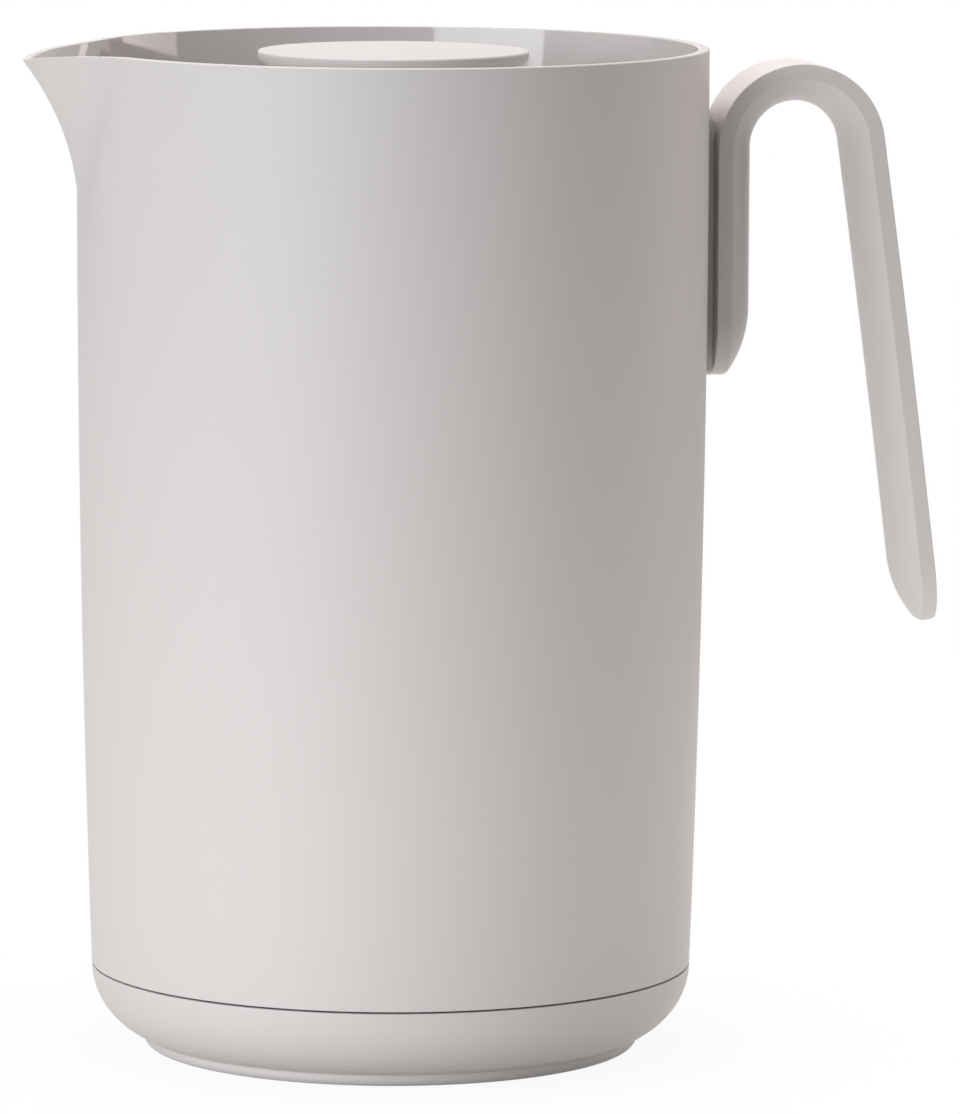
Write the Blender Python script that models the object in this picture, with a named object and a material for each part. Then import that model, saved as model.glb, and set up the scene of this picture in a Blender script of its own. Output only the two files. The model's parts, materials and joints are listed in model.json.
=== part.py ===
# Insulated jug with a flared lip, a hooked handle, a double walled flask and a push button lid.
# All sizes are in millimetres and turn into metres where a mesh is made. The jug stands on z = 0,
# its axis is +Z, the lip points to -X and the handle to +X.

import math

import bmesh
import bpy
from mathutils import Matrix, Vector

MM = 0.001

# Clearances
FIT_GAP = 0.3                 # between pieces that seat on each other
RUN_GAP = 0.4                 # between pieces that slide or screw past each other

# Outer shell
RIM_RADIUS = 65.0
JUG_HEIGHT = 207.5
SHELL_WALL = 2.6
STRAIGHT_TOP = 27.5           # depth below the rim where the side starts to draw in
TAPER_DRAW_IN = 2.8           # how far the side has drawn in at the seam
RIM_ROUND = 0.4

# Pouring lip
SPOUT_REACH = 11.7            # tip beyond the rim's circle
SPOUT_DEPTH = 35.5            # height of the flare
SPOUT_DIP = 2.2               # tip below the rim
SPOUT_DIP_TURN = math.radians(33.0)   # where the rim starts to dip
SPOUT_TURN = math.radians(17.6)       # where the lip's cheeks meet the round side, at the rim
SPOUT_BLEND = 0.3             # hollow between cheek and side, as a share of that turn
SPOUT_TIP_SOFTNESS = math.radians(1.2)

# Base
SEAM_HEIGHT = 17.1
SEAM_GAP = 0.5
BASE_ROUND_WIDTH = 17.3
BASE_ROUND_HEIGHT = 15.7
FOOT_RADIUS = 51.8
FOOT_ROUND = 1.8
BASE_WALL = 2.5
BASE_FLOOR = 2.8
BASE_COLLAR_HEIGHT = 10.0
BASE_COLLAR_WALL = 2.2
BASE_SEAL_WIDTH = 1.1
BASE_SEAL_HEIGHT = 1.1

# Flask and its cushion
FLASK_CLEARANCE = 1.5         # around the flask, inside the base's collar
FLASK_WALL = 1.5
VACUUM_GAP = 3.6
FLASK_DOME_HEIGHT = 18.0
FLASK_SHOULDER_HEIGHT = 24.0
FLASK_NECK_HEIGHT = 9.0
FLASK_LIP_THICKNESS = 1.6
FLASK_MOUTH_MARGIN = 1.3      # mouth beyond the throat's bore
NECK_VACUUM_GAP = 2.4
PUMP_TIP_RADIUS = 2.6
PUMP_TIP_LENGTH = 3.6
SPACER_RADIUS = 4.0
SPACER_HEIGHT = 48.0
SPACER_COUNT = 3
CUSHION_RADIUS = 34.0
CUSHION_FLOOR = 5.5
CUSHION_HOLE = 6.0
FLASK_SEAL_THICKNESS = 1.6

# Pour collar
THROAT_RADIUS = 30.2
THROAT_WALL = 2.2
THROAT_DEPTH = 15.2
THROAT_FOOT_WIDTH = 6.2
THROAT_FOOT_THICKNESS = 2.0
SEAT_WIDTH = 6.4
DECK_RISE = 2.5
DECK_THICKNESS = 2.2
COLLAR_SKIRT_WALL = 2.4
COLLAR_SEAL_BAND = 4.6        # skirt below the flare, where the sealing ring lies
COLLAR_SEAL_HEIGHT = 1.8
COLLAR_SEAL_DEPTH = 1.2

# Lid
PLUG_LENGTH = 19.5
PLUG_WALL = 2.4
GASKET_SPACE = 3.2            # between the plug and the throat
GASKET_HEIGHT = 4.2
GASKET_DROP = 9.5             # gasket's middle below the seat
GASKET_GROOVE = 0.8
FLANGE_WIDTH = 8.6
FLANGE_THICKNESS = 2.5
WINDOW_SILL = 0.4
WINDOW_HEIGHT = 4.6
WINDOW_WIDTH = 24.0
WINDOW_RING = 1.0             # band of the plug above its windows
COVER_THICKNESS = 2.0
COVER_SPIGOT_DEPTH = 1.0
COVER_SPIGOT_WALL = 1.6
WELL_DEPTH = 14.1
WELL_WALL = 1.5
WELL_FLOOR = 1.6
VALVE_PORT_RADIUS = 19.0
VALVE_SEAT_THICKNESS = 2.0

# Button and valve
BUTTON_RADIUS = 27.9
BUTTON_THICKNESS = 3.3
BUTTON_DOME = 0.5
BUTTON_SINK = 0.2             # button's crown below the rim
BUTTON_EDGE_ROUND = 0.5
BUTTON_UNDER_ROUND = 2.0
PRESS_TRAVEL = 5.0
BUTTON_SKIRT_RADIUS = 8.6
BUTTON_SKIRT_WALL = 1.4
BUTTON_SKIRT_LENGTH = 11.0
STEM_RADIUS = 2.5
STEM_BOSS_WALL = 1.5
STEM_BOSS_LENGTH = 8.0
STEM_GRIP = 7.5               # depth of the boss's bore
STEM_END = 0.5                # stem below its nut
VALVE_PLATE_THICKNESS = 3.0
VALVE_OVERLAP = 4.5           # plate beyond the port
VALVE_SEAL_THICKNESS = 1.2
VALVE_SEAL_WIDTH = 4.6
NUT_RADIUS = 4.6
NUT_HEIGHT = 3.0
SPRING_WIRE = 1.0
SPRING_RADIUS = 6.0
SPRING_TURNS = 6

# Handle
HANDLE_GAP = 1.6              # leg off the shell
HANDLE_WIDTH = 17.7
HANDLE_SIDE = 3.2             # straight part of the band's edge
HANDLE_CROWN = 4.9            # bulge of the band towards the fingers
HANDLE_TOP_DROP = 3.6         # arch below the rim
ARCH_RADIUS = 17.6
LEG_LENGTH = 47.5             # leg below the arch
GRIP_LENGTH = 102.9           # free arm below the arch
GRIP_LEAN = math.radians(8.0)
GRIP_LEAN_EASE = math.radians(-1.3)
TONGUE_LENGTH = 12.0          # rounded ends
CROWN_FADE = 14.5             # length over which the bulge rises from an end
STRIP_WIDTH = 13.0
STRIP_END_ROUND = 3.0
STRIP_TOP_DROP = 13.4         # strip's top below the rim
STRIP_END_INSET = 1.6         # strip's lower end above the leg's
SCREW_SPACING = 15.5
SCREW_END_OFFSET = 8.8        # lower screw above the leg's end
SCREW_SHANK = 1.9
SCREW_HEAD_RADIUS = 3.9
SCREW_HEAD_HEIGHT = 2.2
SCREW_BITE = 5.4              # shank inside the leg

# Facets
ROUND_STEPS = 48
LIP_STEPS = 7                 # on each side of the lip's middle, out of the round's steps
INNER_STEPS = 22
LID_STEPS = 28
BUTTON_STEPS = 36

# Levels worked out from the rim down and from the foot up
RIM_Z = JUG_HEIGHT
BUTTON_TOP = RIM_Z - BUTTON_SINK
BUTTON_UNDER = BUTTON_TOP - BUTTON_THICKNESS
COVER_TOP = BUTTON_UNDER - PRESS_TRAVEL - RUN_GAP
COVER_UNDER = COVER_TOP - COVER_THICKNESS
PLUG_TOP = COVER_UNDER - FIT_GAP
WINDOW_TOP = PLUG_TOP - WINDOW_RING
WINDOW_BOTTOM = WINDOW_TOP - WINDOW_HEIGHT
FLANGE_TOP = WINDOW_BOTTOM - WINDOW_SILL
FLANGE_UNDER = FLANGE_TOP - FLANGE_THICKNESS
SEAT_Z = FLANGE_UNDER - FIT_GAP
PLUG_BOTTOM = SEAT_Z - PLUG_LENGTH
THROAT_BOTTOM = SEAT_Z - THROAT_DEPTH
FLASK_SEAL_TOP = THROAT_BOTTOM - FIT_GAP
FLASK_TOP = FLASK_SEAL_TOP - FLASK_SEAL_THICKNESS - FIT_GAP
WELL_FLOOR_Z = COVER_TOP - WELL_DEPTH
VALVE_SEAL_TOP = PLUG_BOTTOM - FIT_GAP
VALVE_PLATE_TOP = VALVE_SEAL_TOP - VALVE_SEAL_THICKNESS - FIT_GAP
VALVE_PLATE_UNDER = VALVE_PLATE_TOP - VALVE_PLATE_THICKNESS
NUT_TOP = VALVE_PLATE_UNDER - FIT_GAP
STEM_BOTTOM = NUT_TOP - NUT_HEIGHT - STEM_END
STEM_TOP = BUTTON_UNDER - STEM_BOSS_LENGTH + STEM_GRIP - FIT_GAP
SPOUT_START = RIM_Z - SPOUT_DEPTH
SHELL_BOTTOM = SEAM_HEIGHT + SEAM_GAP
CUSHION_BOTTOM = BASE_FLOOR + FIT_GAP
FLASK_BOTTOM = CUSHION_BOTTOM + CUSHION_FLOOR + FIT_GAP
DOME_TOP = FLASK_BOTTOM + FLASK_DOME_HEIGHT

# Radii that several pieces share
PLUG_RADIUS = THROAT_RADIUS - GASKET_SPACE
FLASK_MOUTH = THROAT_RADIUS + FLASK_MOUTH_MARGIN
FLASK_LIP_RADIUS = FLASK_MOUTH + FLASK_WALL + NECK_VACUUM_GAP + FLASK_WALL
VALVE_RADIUS = VALVE_PORT_RADIUS + VALVE_OVERLAP
WELL_RADIUS = BUTTON_SKIRT_RADIUS + RUN_GAP
STEM_BORE = STEM_RADIUS + FIT_GAP
LEG_BACK = RIM_RADIUS + HANDLE_GAP
ARCH_Z = RIM_Z - HANDLE_TOP_DROP - ARCH_RADIUS
LEG_END_Z = ARCH_Z - LEG_LENGTH
SCREW_BORE = SCREW_SHANK + FIT_GAP
SCREW_HEIGHTS = (LEG_END_Z + SCREW_END_OFFSET, LEG_END_Z + SCREW_END_OFFSET + SCREW_SPACING)

GREY_SHELL = (0.64, 0.617, 0.598)
GREY_GLOSS = (0.62, 0.60, 0.58)
DARK_RUBBER = (0.03, 0.03, 0.03)
CLEAR_RUBBER = (0.70, 0.69, 0.67)
SILVERED = (0.90, 0.90, 0.91)
STEEL = (0.62, 0.62, 0.62)


def arc(centre_r, centre_z, width, height, start, end, steps):
    """Points of an elliptic arc; angles in degrees, 0 outwards and 90 up."""
    angles = (math.radians(start + (end - start) * i / steps) for i in range(steps + 1))
    return [(centre_r + width * math.cos(a), centre_z + height * math.sin(a)) for a in angles]


def turn(outline, steps):
    """Solid of revolution from a closed outline of (radius, height) points."""
    mesh = bmesh.new()
    points = [mesh.verts.new((r * MM, 0.0, z * MM)) for r, z in outline]
    on_axis = outline[0][0] == 0.0 and outline[-1][0] == 0.0
    pairs = list(zip(points, points[1:]))
    if not on_axis:
        pairs.append((points[-1], points[0]))
    edges = [mesh.edges.new(pair) for pair in pairs]
    bmesh.ops.spin(mesh, geom=points + edges, cent=(0, 0, 0), axis=(0, 0, 1), dvec=(0, 0, 0),
                   angle=math.tau, steps=steps, use_merge=True, use_duplicate=False)
    return closed(mesh)


def loft(rings, joined_ends=False):
    """Skin over rings of points; the last ring joins the first one on a hollow shell."""
    mesh = bmesh.new()
    rows = [[mesh.verts.new(Vector(p) * MM) for p in ring] for ring in rings]
    pairs = list(zip(rows, rows[1:]))
    if joined_ends:
        pairs.append((rows[-1], rows[0]))
    for low, high in pairs:
        for i in range(len(low)):
            j = (i + 1) % len(low)
            mesh.faces.new((low[i], low[j], high[j], high[i]))
    return closed(mesh)


def closed(mesh):
    """Merge the seams and poles and turn every face outwards."""
    bmesh.ops.remove_doubles(mesh, verts=mesh.verts, dist=1e-6)
    bmesh.ops.dissolve_degenerate(mesh, edges=mesh.edges, dist=1e-7)
    bmesh.ops.recalc_face_normals(mesh, faces=mesh.faces)
    if mesh.calc_volume(signed=True) < 0.0:
        bmesh.ops.reverse_faces(mesh, faces=mesh.faces)
    return mesh


def piece(name, mesh, colour, roughness, metallic=0.0, carrier=None):
    """Named object with its own material, carried by an empty where it moves."""
    data = bpy.data.meshes.new(name)
    mesh.to_mesh(data)
    mesh.free()
    data.shade_smooth()
    data.set_sharp_from_angle(angle=math.radians(35))
    material = bpy.data.materials.new(name)
    material.use_nodes = True
    shader = material.node_tree.nodes["Principled BSDF"]
    shader.inputs["Base Color"].default_value = (*colour, 1.0)
    shader.inputs["Roughness"].default_value = roughness
    shader.inputs["Metallic"].default_value = metallic
    data.materials.append(material)
    item = bpy.data.objects.new(name, data)
    bpy.context.scene.collection.objects.link(item)
    if carrier:
        item.parent = carrier
        item.matrix_parent_inverse = Matrix.Translation(carrier.location).inverted()
    return item


def carrier(name, height):
    """Empty on the jug's axis that carries the pieces of one moving group."""
    empty = bpy.data.objects.new(name, None)
    empty.location = (0.0, 0.0, height * MM)
    bpy.context.scene.collection.objects.link(empty)
    return empty


def cut(item, cutter_mesh, name):
    """Take a cutter's shape out of a piece."""
    data = bpy.data.meshes.new(name)
    cutter_mesh.to_mesh(data)
    cutter_mesh.free()
    cutter = bpy.data.objects.new(name, data)
    bpy.context.scene.collection.objects.link(cutter)
    cutter.hide_render = True
    cutter.display_type = "WIRE"
    boolean = item.modifiers.new(name, "BOOLEAN")
    boolean.operation = "DIFFERENCE"
    boolean.object = cutter


def rod(radius, start, end, y, z, steps):
    """Round bar along +X."""
    angles = [math.tau * i / steps for i in range(steps)]
    mesh = bmesh.new()
    ends = []
    for x in (start, end):
        ring = [(x, y + radius * math.cos(a), z + radius * math.sin(a)) for a in angles]
        ends.append([mesh.verts.new(Vector(p) * MM) for p in ring])
    for i in range(steps):
        j = (i + 1) % steps
        mesh.faces.new((ends[0][i], ends[0][j], ends[1][j], ends[1][i]))
    mesh.faces.new(ends[0])
    mesh.faces.new(ends[1])
    return closed(mesh)


def side_radius(z):
    """Outside of the shell away from the lip: straight, then a long arc that draws in."""
    drawn = max(0.0, RIM_Z - STRAIGHT_TOP - z) / (RIM_Z - STRAIGHT_TOP - SEAM_HEIGHT)
    return RIM_RADIUS - TAPER_DRAW_IN * drawn * drawn


def flare(z):
    """How far the lip stands out from the side at a height, on an arc that starts upright."""
    rise = SPOUT_DEPTH - SPOUT_DIP
    bend = (SPOUT_REACH ** 2 + rise ** 2) / (2.0 * SPOUT_REACH)
    up = min(max(0.0, z - SPOUT_START), bend)
    return bend - math.sqrt(bend * bend - up * up)


def lip_turn(z):
    """Angle from the lip's middle at which its cheeks meet the round side."""
    return SPOUT_TURN * math.sqrt(flare(z) / SPOUT_REACH)


def shell_radius(turned, z):
    """Outside of the shell; turned is the angle from the lip's middle."""
    reach = flare(z)
    if reach == 0.0:
        return side_radius(z)
    off = math.hypot(turned, SPOUT_TIP_SOFTNESS) - SPOUT_TIP_SOFTNESS
    left = 1.0 - off / lip_turn(z)
    if left < SPOUT_BLEND:
        left = max(0.0, left + SPOUT_BLEND) ** 2 / (4.0 * SPOUT_BLEND)
    return side_radius(z) + reach * left


def rim_height(turned):
    """Top of the rim, which dips towards the lip's tip."""
    return RIM_Z - SPOUT_DIP * max(0.0, 1.0 - abs(turned) / SPOUT_DIP_TURN) ** 3


def shell_turns():
    """Angles around the shell from the lip's middle, closer together on the lip."""
    half = [SPOUT_DIP_TURN * (i / LIP_STEPS) ** 1.3 for i in range(LIP_STEPS + 1)]
    around = (ROUND_STEPS - 2 * LIP_STEPS) // 2
    for end, steps in ((math.pi / 2, around // 2), (math.pi, around - around // 2)):
        start = half[-1]
        half += [start + (end - start) * i / steps for i in range(1, steps + 1)]
    return half + [-t for t in reversed(half[1:-1])]


def around_shell(radius_at, height_at):
    """Ring of points; both functions take the angle from the lip's middle."""
    ring = []
    for t in shell_turns():
        r = radius_at(t)
        ring.append((-r * math.cos(t), -r * math.sin(t), height_at(t)))
    return ring


def outer_shell():
    """Shell with the pouring lip, hollow from the seam to the rim."""
    straight = (SPOUT_START - SHELL_BOTTOM) / (RIM_Z - SHELL_BOTTOM)
    levels = [straight * i / 4 for i in range(5)]
    levels += [straight + (1.0 - straight) * i / 6 for i in range(1, 7)]
    rings = []

    def wall_ring(level, inset):
        def height(t):
            return SHELL_BOTTOM + level * (rim_height(t) - RIM_ROUND - SHELL_BOTTOM)
        rings.append(around_shell(lambda t: shell_radius(t, height(t)) - inset, height))

    def rim_ring(inset, drop):
        def height(t):
            return rim_height(t) - drop
        rings.append(around_shell(lambda t: shell_radius(t, height(t)) - inset, height))

    corner = RIM_ROUND * (1.0 - math.sqrt(0.5))
    for level in levels:
        wall_ring(level, 0.0)
    rim_ring(corner, corner)
    rim_ring(RIM_ROUND, 0.0)
    rim_ring(SHELL_WALL - RIM_ROUND, 0.0)
    rim_ring(SHELL_WALL - corner, corner)
    for level in reversed(levels):
        wall_ring(level, SHELL_WALL)
    item = piece("outer_shell", loft(rings, joined_ends=True), GREY_SHELL, 0.45)
    for i, z in enumerate(SCREW_HEIGHTS):
        inside = side_radius(z) - SHELL_WALL
        hole = rod(SCREW_BORE, inside - SHELL_WALL, RIM_RADIUS + SHELL_WALL, 0.0, z, 12)
        cut(item, hole, f"shell_screw_hole_{i + 1}")
    return item


def base_cap():
    """Rounded base with a low foot and the collar that screws into the shell."""
    top = side_radius(SEAM_HEIGHT)
    hub = top - BASE_ROUND_WIDTH
    foot_turn = math.degrees(math.acos((FOOT_RADIUS - hub) / BASE_ROUND_WIDTH))
    bowl = arc(hub, SEAM_HEIGHT, BASE_ROUND_WIDTH, BASE_ROUND_HEIGHT, -foot_turn, 0.0, 7)
    edge = min(FOOT_ROUND, bowl[0][1] * 0.7)
    collar = collar_radius()
    groove = collar + FIT_GAP + BASE_SEAL_WIDTH + FIT_GAP
    inner = arc(hub, SEAM_HEIGHT, BASE_ROUND_WIDTH - BASE_WALL, SEAM_HEIGHT - BASE_FLOOR, 0.0, -90.0, 4)
    outline = [(0.0, 0.0)]
    outline += arc(FOOT_RADIUS - edge, edge, edge, edge, -90.0, 0.0, 3)
    outline += bowl
    outline += [(groove, SEAM_HEIGHT), (groove, seal_floor()), (collar, seal_floor())]
    outline += [(collar, SEAM_HEIGHT + BASE_COLLAR_HEIGHT)]
    outline += [(collar - BASE_COLLAR_WALL, SEAM_HEIGHT + BASE_COLLAR_HEIGHT)]
    outline += [(collar - BASE_COLLAR_WALL, SEAM_HEIGHT)]
    outline += [p for p in inner if p[0] < collar - BASE_COLLAR_WALL]
    outline += [(0.0, BASE_FLOOR)]
    return piece("base_cap", turn(outline, ROUND_STEPS), GREY_SHELL, 0.45)


def collar_radius():
    """Outside of the base's screw collar, inside the shell."""
    return side_radius(SHELL_BOTTOM) - SHELL_WALL - RUN_GAP


def seal_floor():
    """Floor of the groove that holds the seam's sealing ring."""
    return SHELL_BOTTOM - FIT_GAP - BASE_SEAL_HEIGHT - FIT_GAP


def base_seal():
    """Sealing ring behind the seam."""
    inside = collar_radius() + FIT_GAP
    low = seal_floor() + FIT_GAP
    outline = [(inside, low), (inside + BASE_SEAL_WIDTH, low)]
    outline += [(inside + BASE_SEAL_WIDTH, low + BASE_SEAL_HEIGHT), (inside, low + BASE_SEAL_HEIGHT)]
    return piece("base_seal", turn(outline, ROUND_STEPS), DARK_RUBBER, 0.6)


def flask_radius():
    """Outside of the flask, which passes the base's collar."""
    return collar_radius() - BASE_COLLAR_WALL - FLASK_CLEARANCE


def vessel(radius, bottom, mouth, top):
    """One skin of a vessel from the axis at its floor to its mouth."""
    skin = arc(0.0, DOME_TOP, radius, DOME_TOP - bottom, -90.0, 0.0, 5)
    skin[0] = (0.0, bottom)
    neck_low = FLASK_TOP - FLASK_NECK_HEIGHT
    for i in range(5):
        share = i / 4
        fall = 0.5 + 0.5 * math.cos(math.pi * share)
        skin.append((mouth + (radius - mouth) * fall, neck_low - FLASK_SHOULDER_HEIGHT * (1.0 - share)))
    return skin + [(mouth, top)]


def flask_inner():
    """Inner vessel with the mouth's lip turned out over the outer vessel."""
    radius = flask_radius() - FLASK_WALL - VACUUM_GAP
    bottom = FLASK_BOTTOM + FLASK_WALL + VACUUM_GAP
    lip_under = FLASK_TOP - FLASK_LIP_THICKNESS
    outside = vessel(radius, bottom, FLASK_MOUTH + FLASK_WALL, lip_under)
    inside = vessel(radius - FLASK_WALL, bottom + FLASK_WALL, FLASK_MOUTH, FLASK_TOP)
    lip = [(FLASK_LIP_RADIUS, lip_under), (FLASK_LIP_RADIUS, FLASK_TOP)]
    return piece("flask_inner", turn(outside + lip + inside[::-1], INNER_STEPS), SILVERED, 0.06, 1.0)


def flask_outer():
    """Outer vessel with the drawn tip where the air was pumped out."""
    radius = flask_radius()
    top = FLASK_TOP - FLASK_LIP_THICKNESS - FIT_GAP
    outside = vessel(radius, FLASK_BOTTOM, FLASK_LIP_RADIUS, top)
    inside = vessel(radius - FLASK_WALL, FLASK_BOTTOM + FLASK_WALL, FLASK_LIP_RADIUS - FLASK_WALL, top)
    tip_low = FLASK_BOTTOM - PUMP_TIP_LENGTH
    tip = [(0.0, tip_low), (PUMP_TIP_RADIUS / 2.0, tip_low + PUMP_TIP_LENGTH / 4.0)]
    tip += [(PUMP_TIP_RADIUS, FLASK_BOTTOM + FLASK_WALL / 4.0)]
    return piece("flask_outer", turn(tip + outside[1:] + inside[::-1], INNER_STEPS), SILVERED, 0.06, 1.0)


def flask_spacers():
    """Pads that keep the two vessels apart."""
    inside = flask_radius() - FLASK_WALL - VACUUM_GAP
    low = inside + FIT_GAP
    facet = math.cos(math.pi / INNER_STEPS)
    high = math.sqrt(((inside + VACUUM_GAP) * facet) ** 2 - SPACER_RADIUS ** 2) - FIT_GAP
    for i in range(SPACER_COUNT):
        pad = rod(SPACER_RADIUS, low, high, 0.0, SPACER_HEIGHT, 10)
        spin = Matrix.Rotation(math.tau * (i + 0.5) / SPACER_COUNT, 4, "Z")
        bmesh.ops.transform(pad, matrix=spin, verts=pad.verts)
        piece(f"flask_spacer_{i + 1}", pad, CLEAR_RUBBER, 0.9)


def cushion():
    """Rubber cup that carries the flask on the base's floor."""
    def dome(r):
        share = math.sqrt(1.0 - (r / flask_radius()) ** 2)
        return DOME_TOP - FLASK_DOME_HEIGHT * share - FIT_GAP
    radii = [CUSHION_RADIUS + (CUSHION_HOLE - CUSHION_RADIUS) * i / 5 for i in range(6)]
    outline = [(CUSHION_HOLE, CUSHION_BOTTOM), (CUSHION_RADIUS, CUSHION_BOTTOM)]
    outline += [(r, dome(r)) for r in radii]
    return piece("flask_cushion", turn(outline, INNER_STEPS), DARK_RUBBER, 0.8)


def flask_seal():
    """Ring between the flask's mouth and the throat's foot."""
    inside = FLASK_MOUTH
    outside = THROAT_RADIUS + THROAT_FOOT_WIDTH
    low = FLASK_SEAL_TOP - FLASK_SEAL_THICKNESS
    outline = [(inside, low), (outside, low), (outside, FLASK_SEAL_TOP), (inside, FLASK_SEAL_TOP)]
    return piece("flask_seal", turn(outline, INNER_STEPS), CLEAR_RUBBER, 0.6)


def pour_collar():
    """Deck inside the rim with the throat for the lid; its edge follows the lip."""
    edge_z = SEAT_Z + DECK_RISE
    skirt_low = SPOUT_START - COLLAR_SEAL_BAND
    groove_mid = (skirt_low + SPOUT_START) / 2.0
    groove_half = COLLAR_SEAL_HEIGHT / 2.0 + FIT_GAP
    groove_in = FIT_GAP + COLLAR_SEAL_DEPTH
    seat_edge = THROAT_RADIUS + SEAT_WIDTH
    throat_out = THROAT_RADIUS + THROAT_WALL
    foot_out = THROAT_RADIUS + THROAT_FOOT_WIDTH
    deck_under = SEAT_Z - DECK_THICKNESS
    edge_under = edge_z - DECK_THICKNESS

    # Points near the shell are held as an inset from its inside, the others as a radius.
    rise = [SPOUT_START + (edge_z - SPOUT_START) * i / 3 for i in range(4)]
    near = [(0.0, z) for z in reversed(rise)]
    near += [(0.0, groove_mid + groove_half), (groove_in, groove_mid + groove_half)]
    near += [(groove_in, groove_mid - groove_half), (0.0, groove_mid - groove_half), (0.0, skirt_low)]
    near += [(COLLAR_SKIRT_WALL, skirt_low), (COLLAR_SKIRT_WALL, edge_under)]
    far = [(seat_edge, deck_under), (throat_out, deck_under)]
    far += [(throat_out, THROAT_BOTTOM + THROAT_FOOT_THICKNESS)]
    far += [(foot_out, THROAT_BOTTOM + THROAT_FOOT_THICKNESS), (foot_out, THROAT_BOTTOM)]
    far += [(THROAT_RADIUS, THROAT_BOTTOM), (THROAT_RADIUS, SEAT_Z), (seat_edge, SEAT_Z)]
    rings = []
    for inset, z in near:
        def by_shell(t, z=z, inset=inset):
            return shell_radius(t, z) - SHELL_WALL - FIT_GAP - inset
        rings.append(around_shell(by_shell, lambda t, z=z: z))
    for r, z in far:
        rings.append(around_shell(lambda t, r=r: r, lambda t, z=z: z))
    return piece("pour_collar", loft(rings, joined_ends=True), GREY_GLOSS, 0.2)


def collar_seal():
    """Sealing ring between the collar's skirt and the shell."""
    mid = SPOUT_START - COLLAR_SEAL_BAND / 2.0
    outside = side_radius(SPOUT_START) - SHELL_WALL - FIT_GAP
    inside = outside - COLLAR_SEAL_DEPTH
    low = mid - COLLAR_SEAL_HEIGHT / 2.0
    high = mid + COLLAR_SEAL_HEIGHT / 2.0
    rings = []
    for r, z in ((outside, low), (outside, high), (inside, high), (inside, low)):
        rings.append(around_shell(lambda t, r=r: r, lambda t, z=z: z))
    return piece("collar_seal", loft(rings, joined_ends=True), CLEAR_RUBBER, 0.6)


def stopper_body(lid):
    """Plug with the valve port at its foot and pouring windows above its flange."""
    bore = PLUG_RADIUS - PLUG_WALL
    flange = PLUG_RADIUS + FLANGE_WIDTH
    groove_mid = SEAT_Z - GASKET_DROP
    groove_half = GASKET_HEIGHT / 2.0 + FIT_GAP
    groove = PLUG_RADIUS - GASKET_GROOVE
    outline = [(VALVE_PORT_RADIUS, PLUG_BOTTOM), (PLUG_RADIUS, PLUG_BOTTOM)]
    outline += [(PLUG_RADIUS, groove_mid - groove_half), (groove, groove_mid - groove_half)]
    outline += [(groove, groove_mid + groove_half), (PLUG_RADIUS, groove_mid + groove_half)]
    outline += [(PLUG_RADIUS, FLANGE_UNDER), (flange, FLANGE_UNDER), (flange, FLANGE_TOP)]
    outline += [(PLUG_RADIUS, FLANGE_TOP), (PLUG_RADIUS, PLUG_TOP), (bore, PLUG_TOP)]
    outline += [(bore, PLUG_BOTTOM + VALVE_SEAT_THICKNESS)]
    outline += [(VALVE_PORT_RADIUS, PLUG_BOTTOM + VALVE_SEAT_THICKNESS)]
    item = piece("stopper_body", turn(outline, LID_STEPS), GREY_GLOSS, 0.3, carrier=lid)
    for name, turned in (("window_cut_lengthwise", 0.0), ("window_cut_across", math.pi / 2.0)):
        bar = bmesh.new()
        size = (2.0 * flange, WINDOW_WIDTH, WINDOW_HEIGHT)
        place = Matrix.Rotation(turned, 4, "Z")
        place = place @ Matrix.Translation((0.0, 0.0, (WINDOW_TOP + WINDOW_BOTTOM) / 2.0 * MM))
        place = place @ Matrix.Diagonal((*[s * MM for s in size], 1.0))
        bmesh.ops.create_cube(bar, size=1.0, matrix=place)
        cut(item, bar, name)
    return item


def stopper_gasket(lid):
    """Gasket with two sealing lips between the plug and the throat."""
    inside = PLUG_RADIUS - GASKET_GROOVE + FIT_GAP
    root = PLUG_RADIUS + FIT_GAP
    outside = THROAT_RADIUS - FIT_GAP
    mid = SEAT_Z - GASKET_DROP
    half = GASKET_HEIGHT / 2.0
    outline = [(inside, mid - half), (root, mid - half), (outside, mid - half / 3.0), (root, mid)]
    outline += [(outside, mid + half * 2.0 / 3.0), (root, mid + half), (inside, mid + half)]
    return piece("stopper_gasket", turn(outline, LID_STEPS), CLEAR_RUBBER, 0.5, carrier=lid)


def stopper_cover(lid):
    """Cover over the plug with the well that holds the spring."""
    spigot = PLUG_RADIUS - PLUG_WALL - FIT_GAP
    spigot_low = COVER_UNDER - COVER_SPIGOT_DEPTH
    well_out = WELL_RADIUS + WELL_WALL
    hole = STEM_RADIUS + RUN_GAP
    outline = [(WELL_RADIUS, COVER_TOP), (WELL_RADIUS, WELL_FLOOR_Z), (hole, WELL_FLOOR_Z)]
    outline += [(hole, WELL_FLOOR_Z - WELL_FLOOR), (well_out, WELL_FLOOR_Z - WELL_FLOOR)]
    outline += [(well_out, COVER_UNDER), (spigot - COVER_SPIGOT_WALL, COVER_UNDER)]
    outline += [(spigot - COVER_SPIGOT_WALL, spigot_low), (spigot, spigot_low), (spigot, COVER_UNDER)]
    outline += [(PLUG_RADIUS, COVER_UNDER), (PLUG_RADIUS, COVER_TOP)]
    return piece("stopper_cover", turn(outline, LID_STEPS), GREY_GLOSS, 0.3, carrier=lid)


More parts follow.
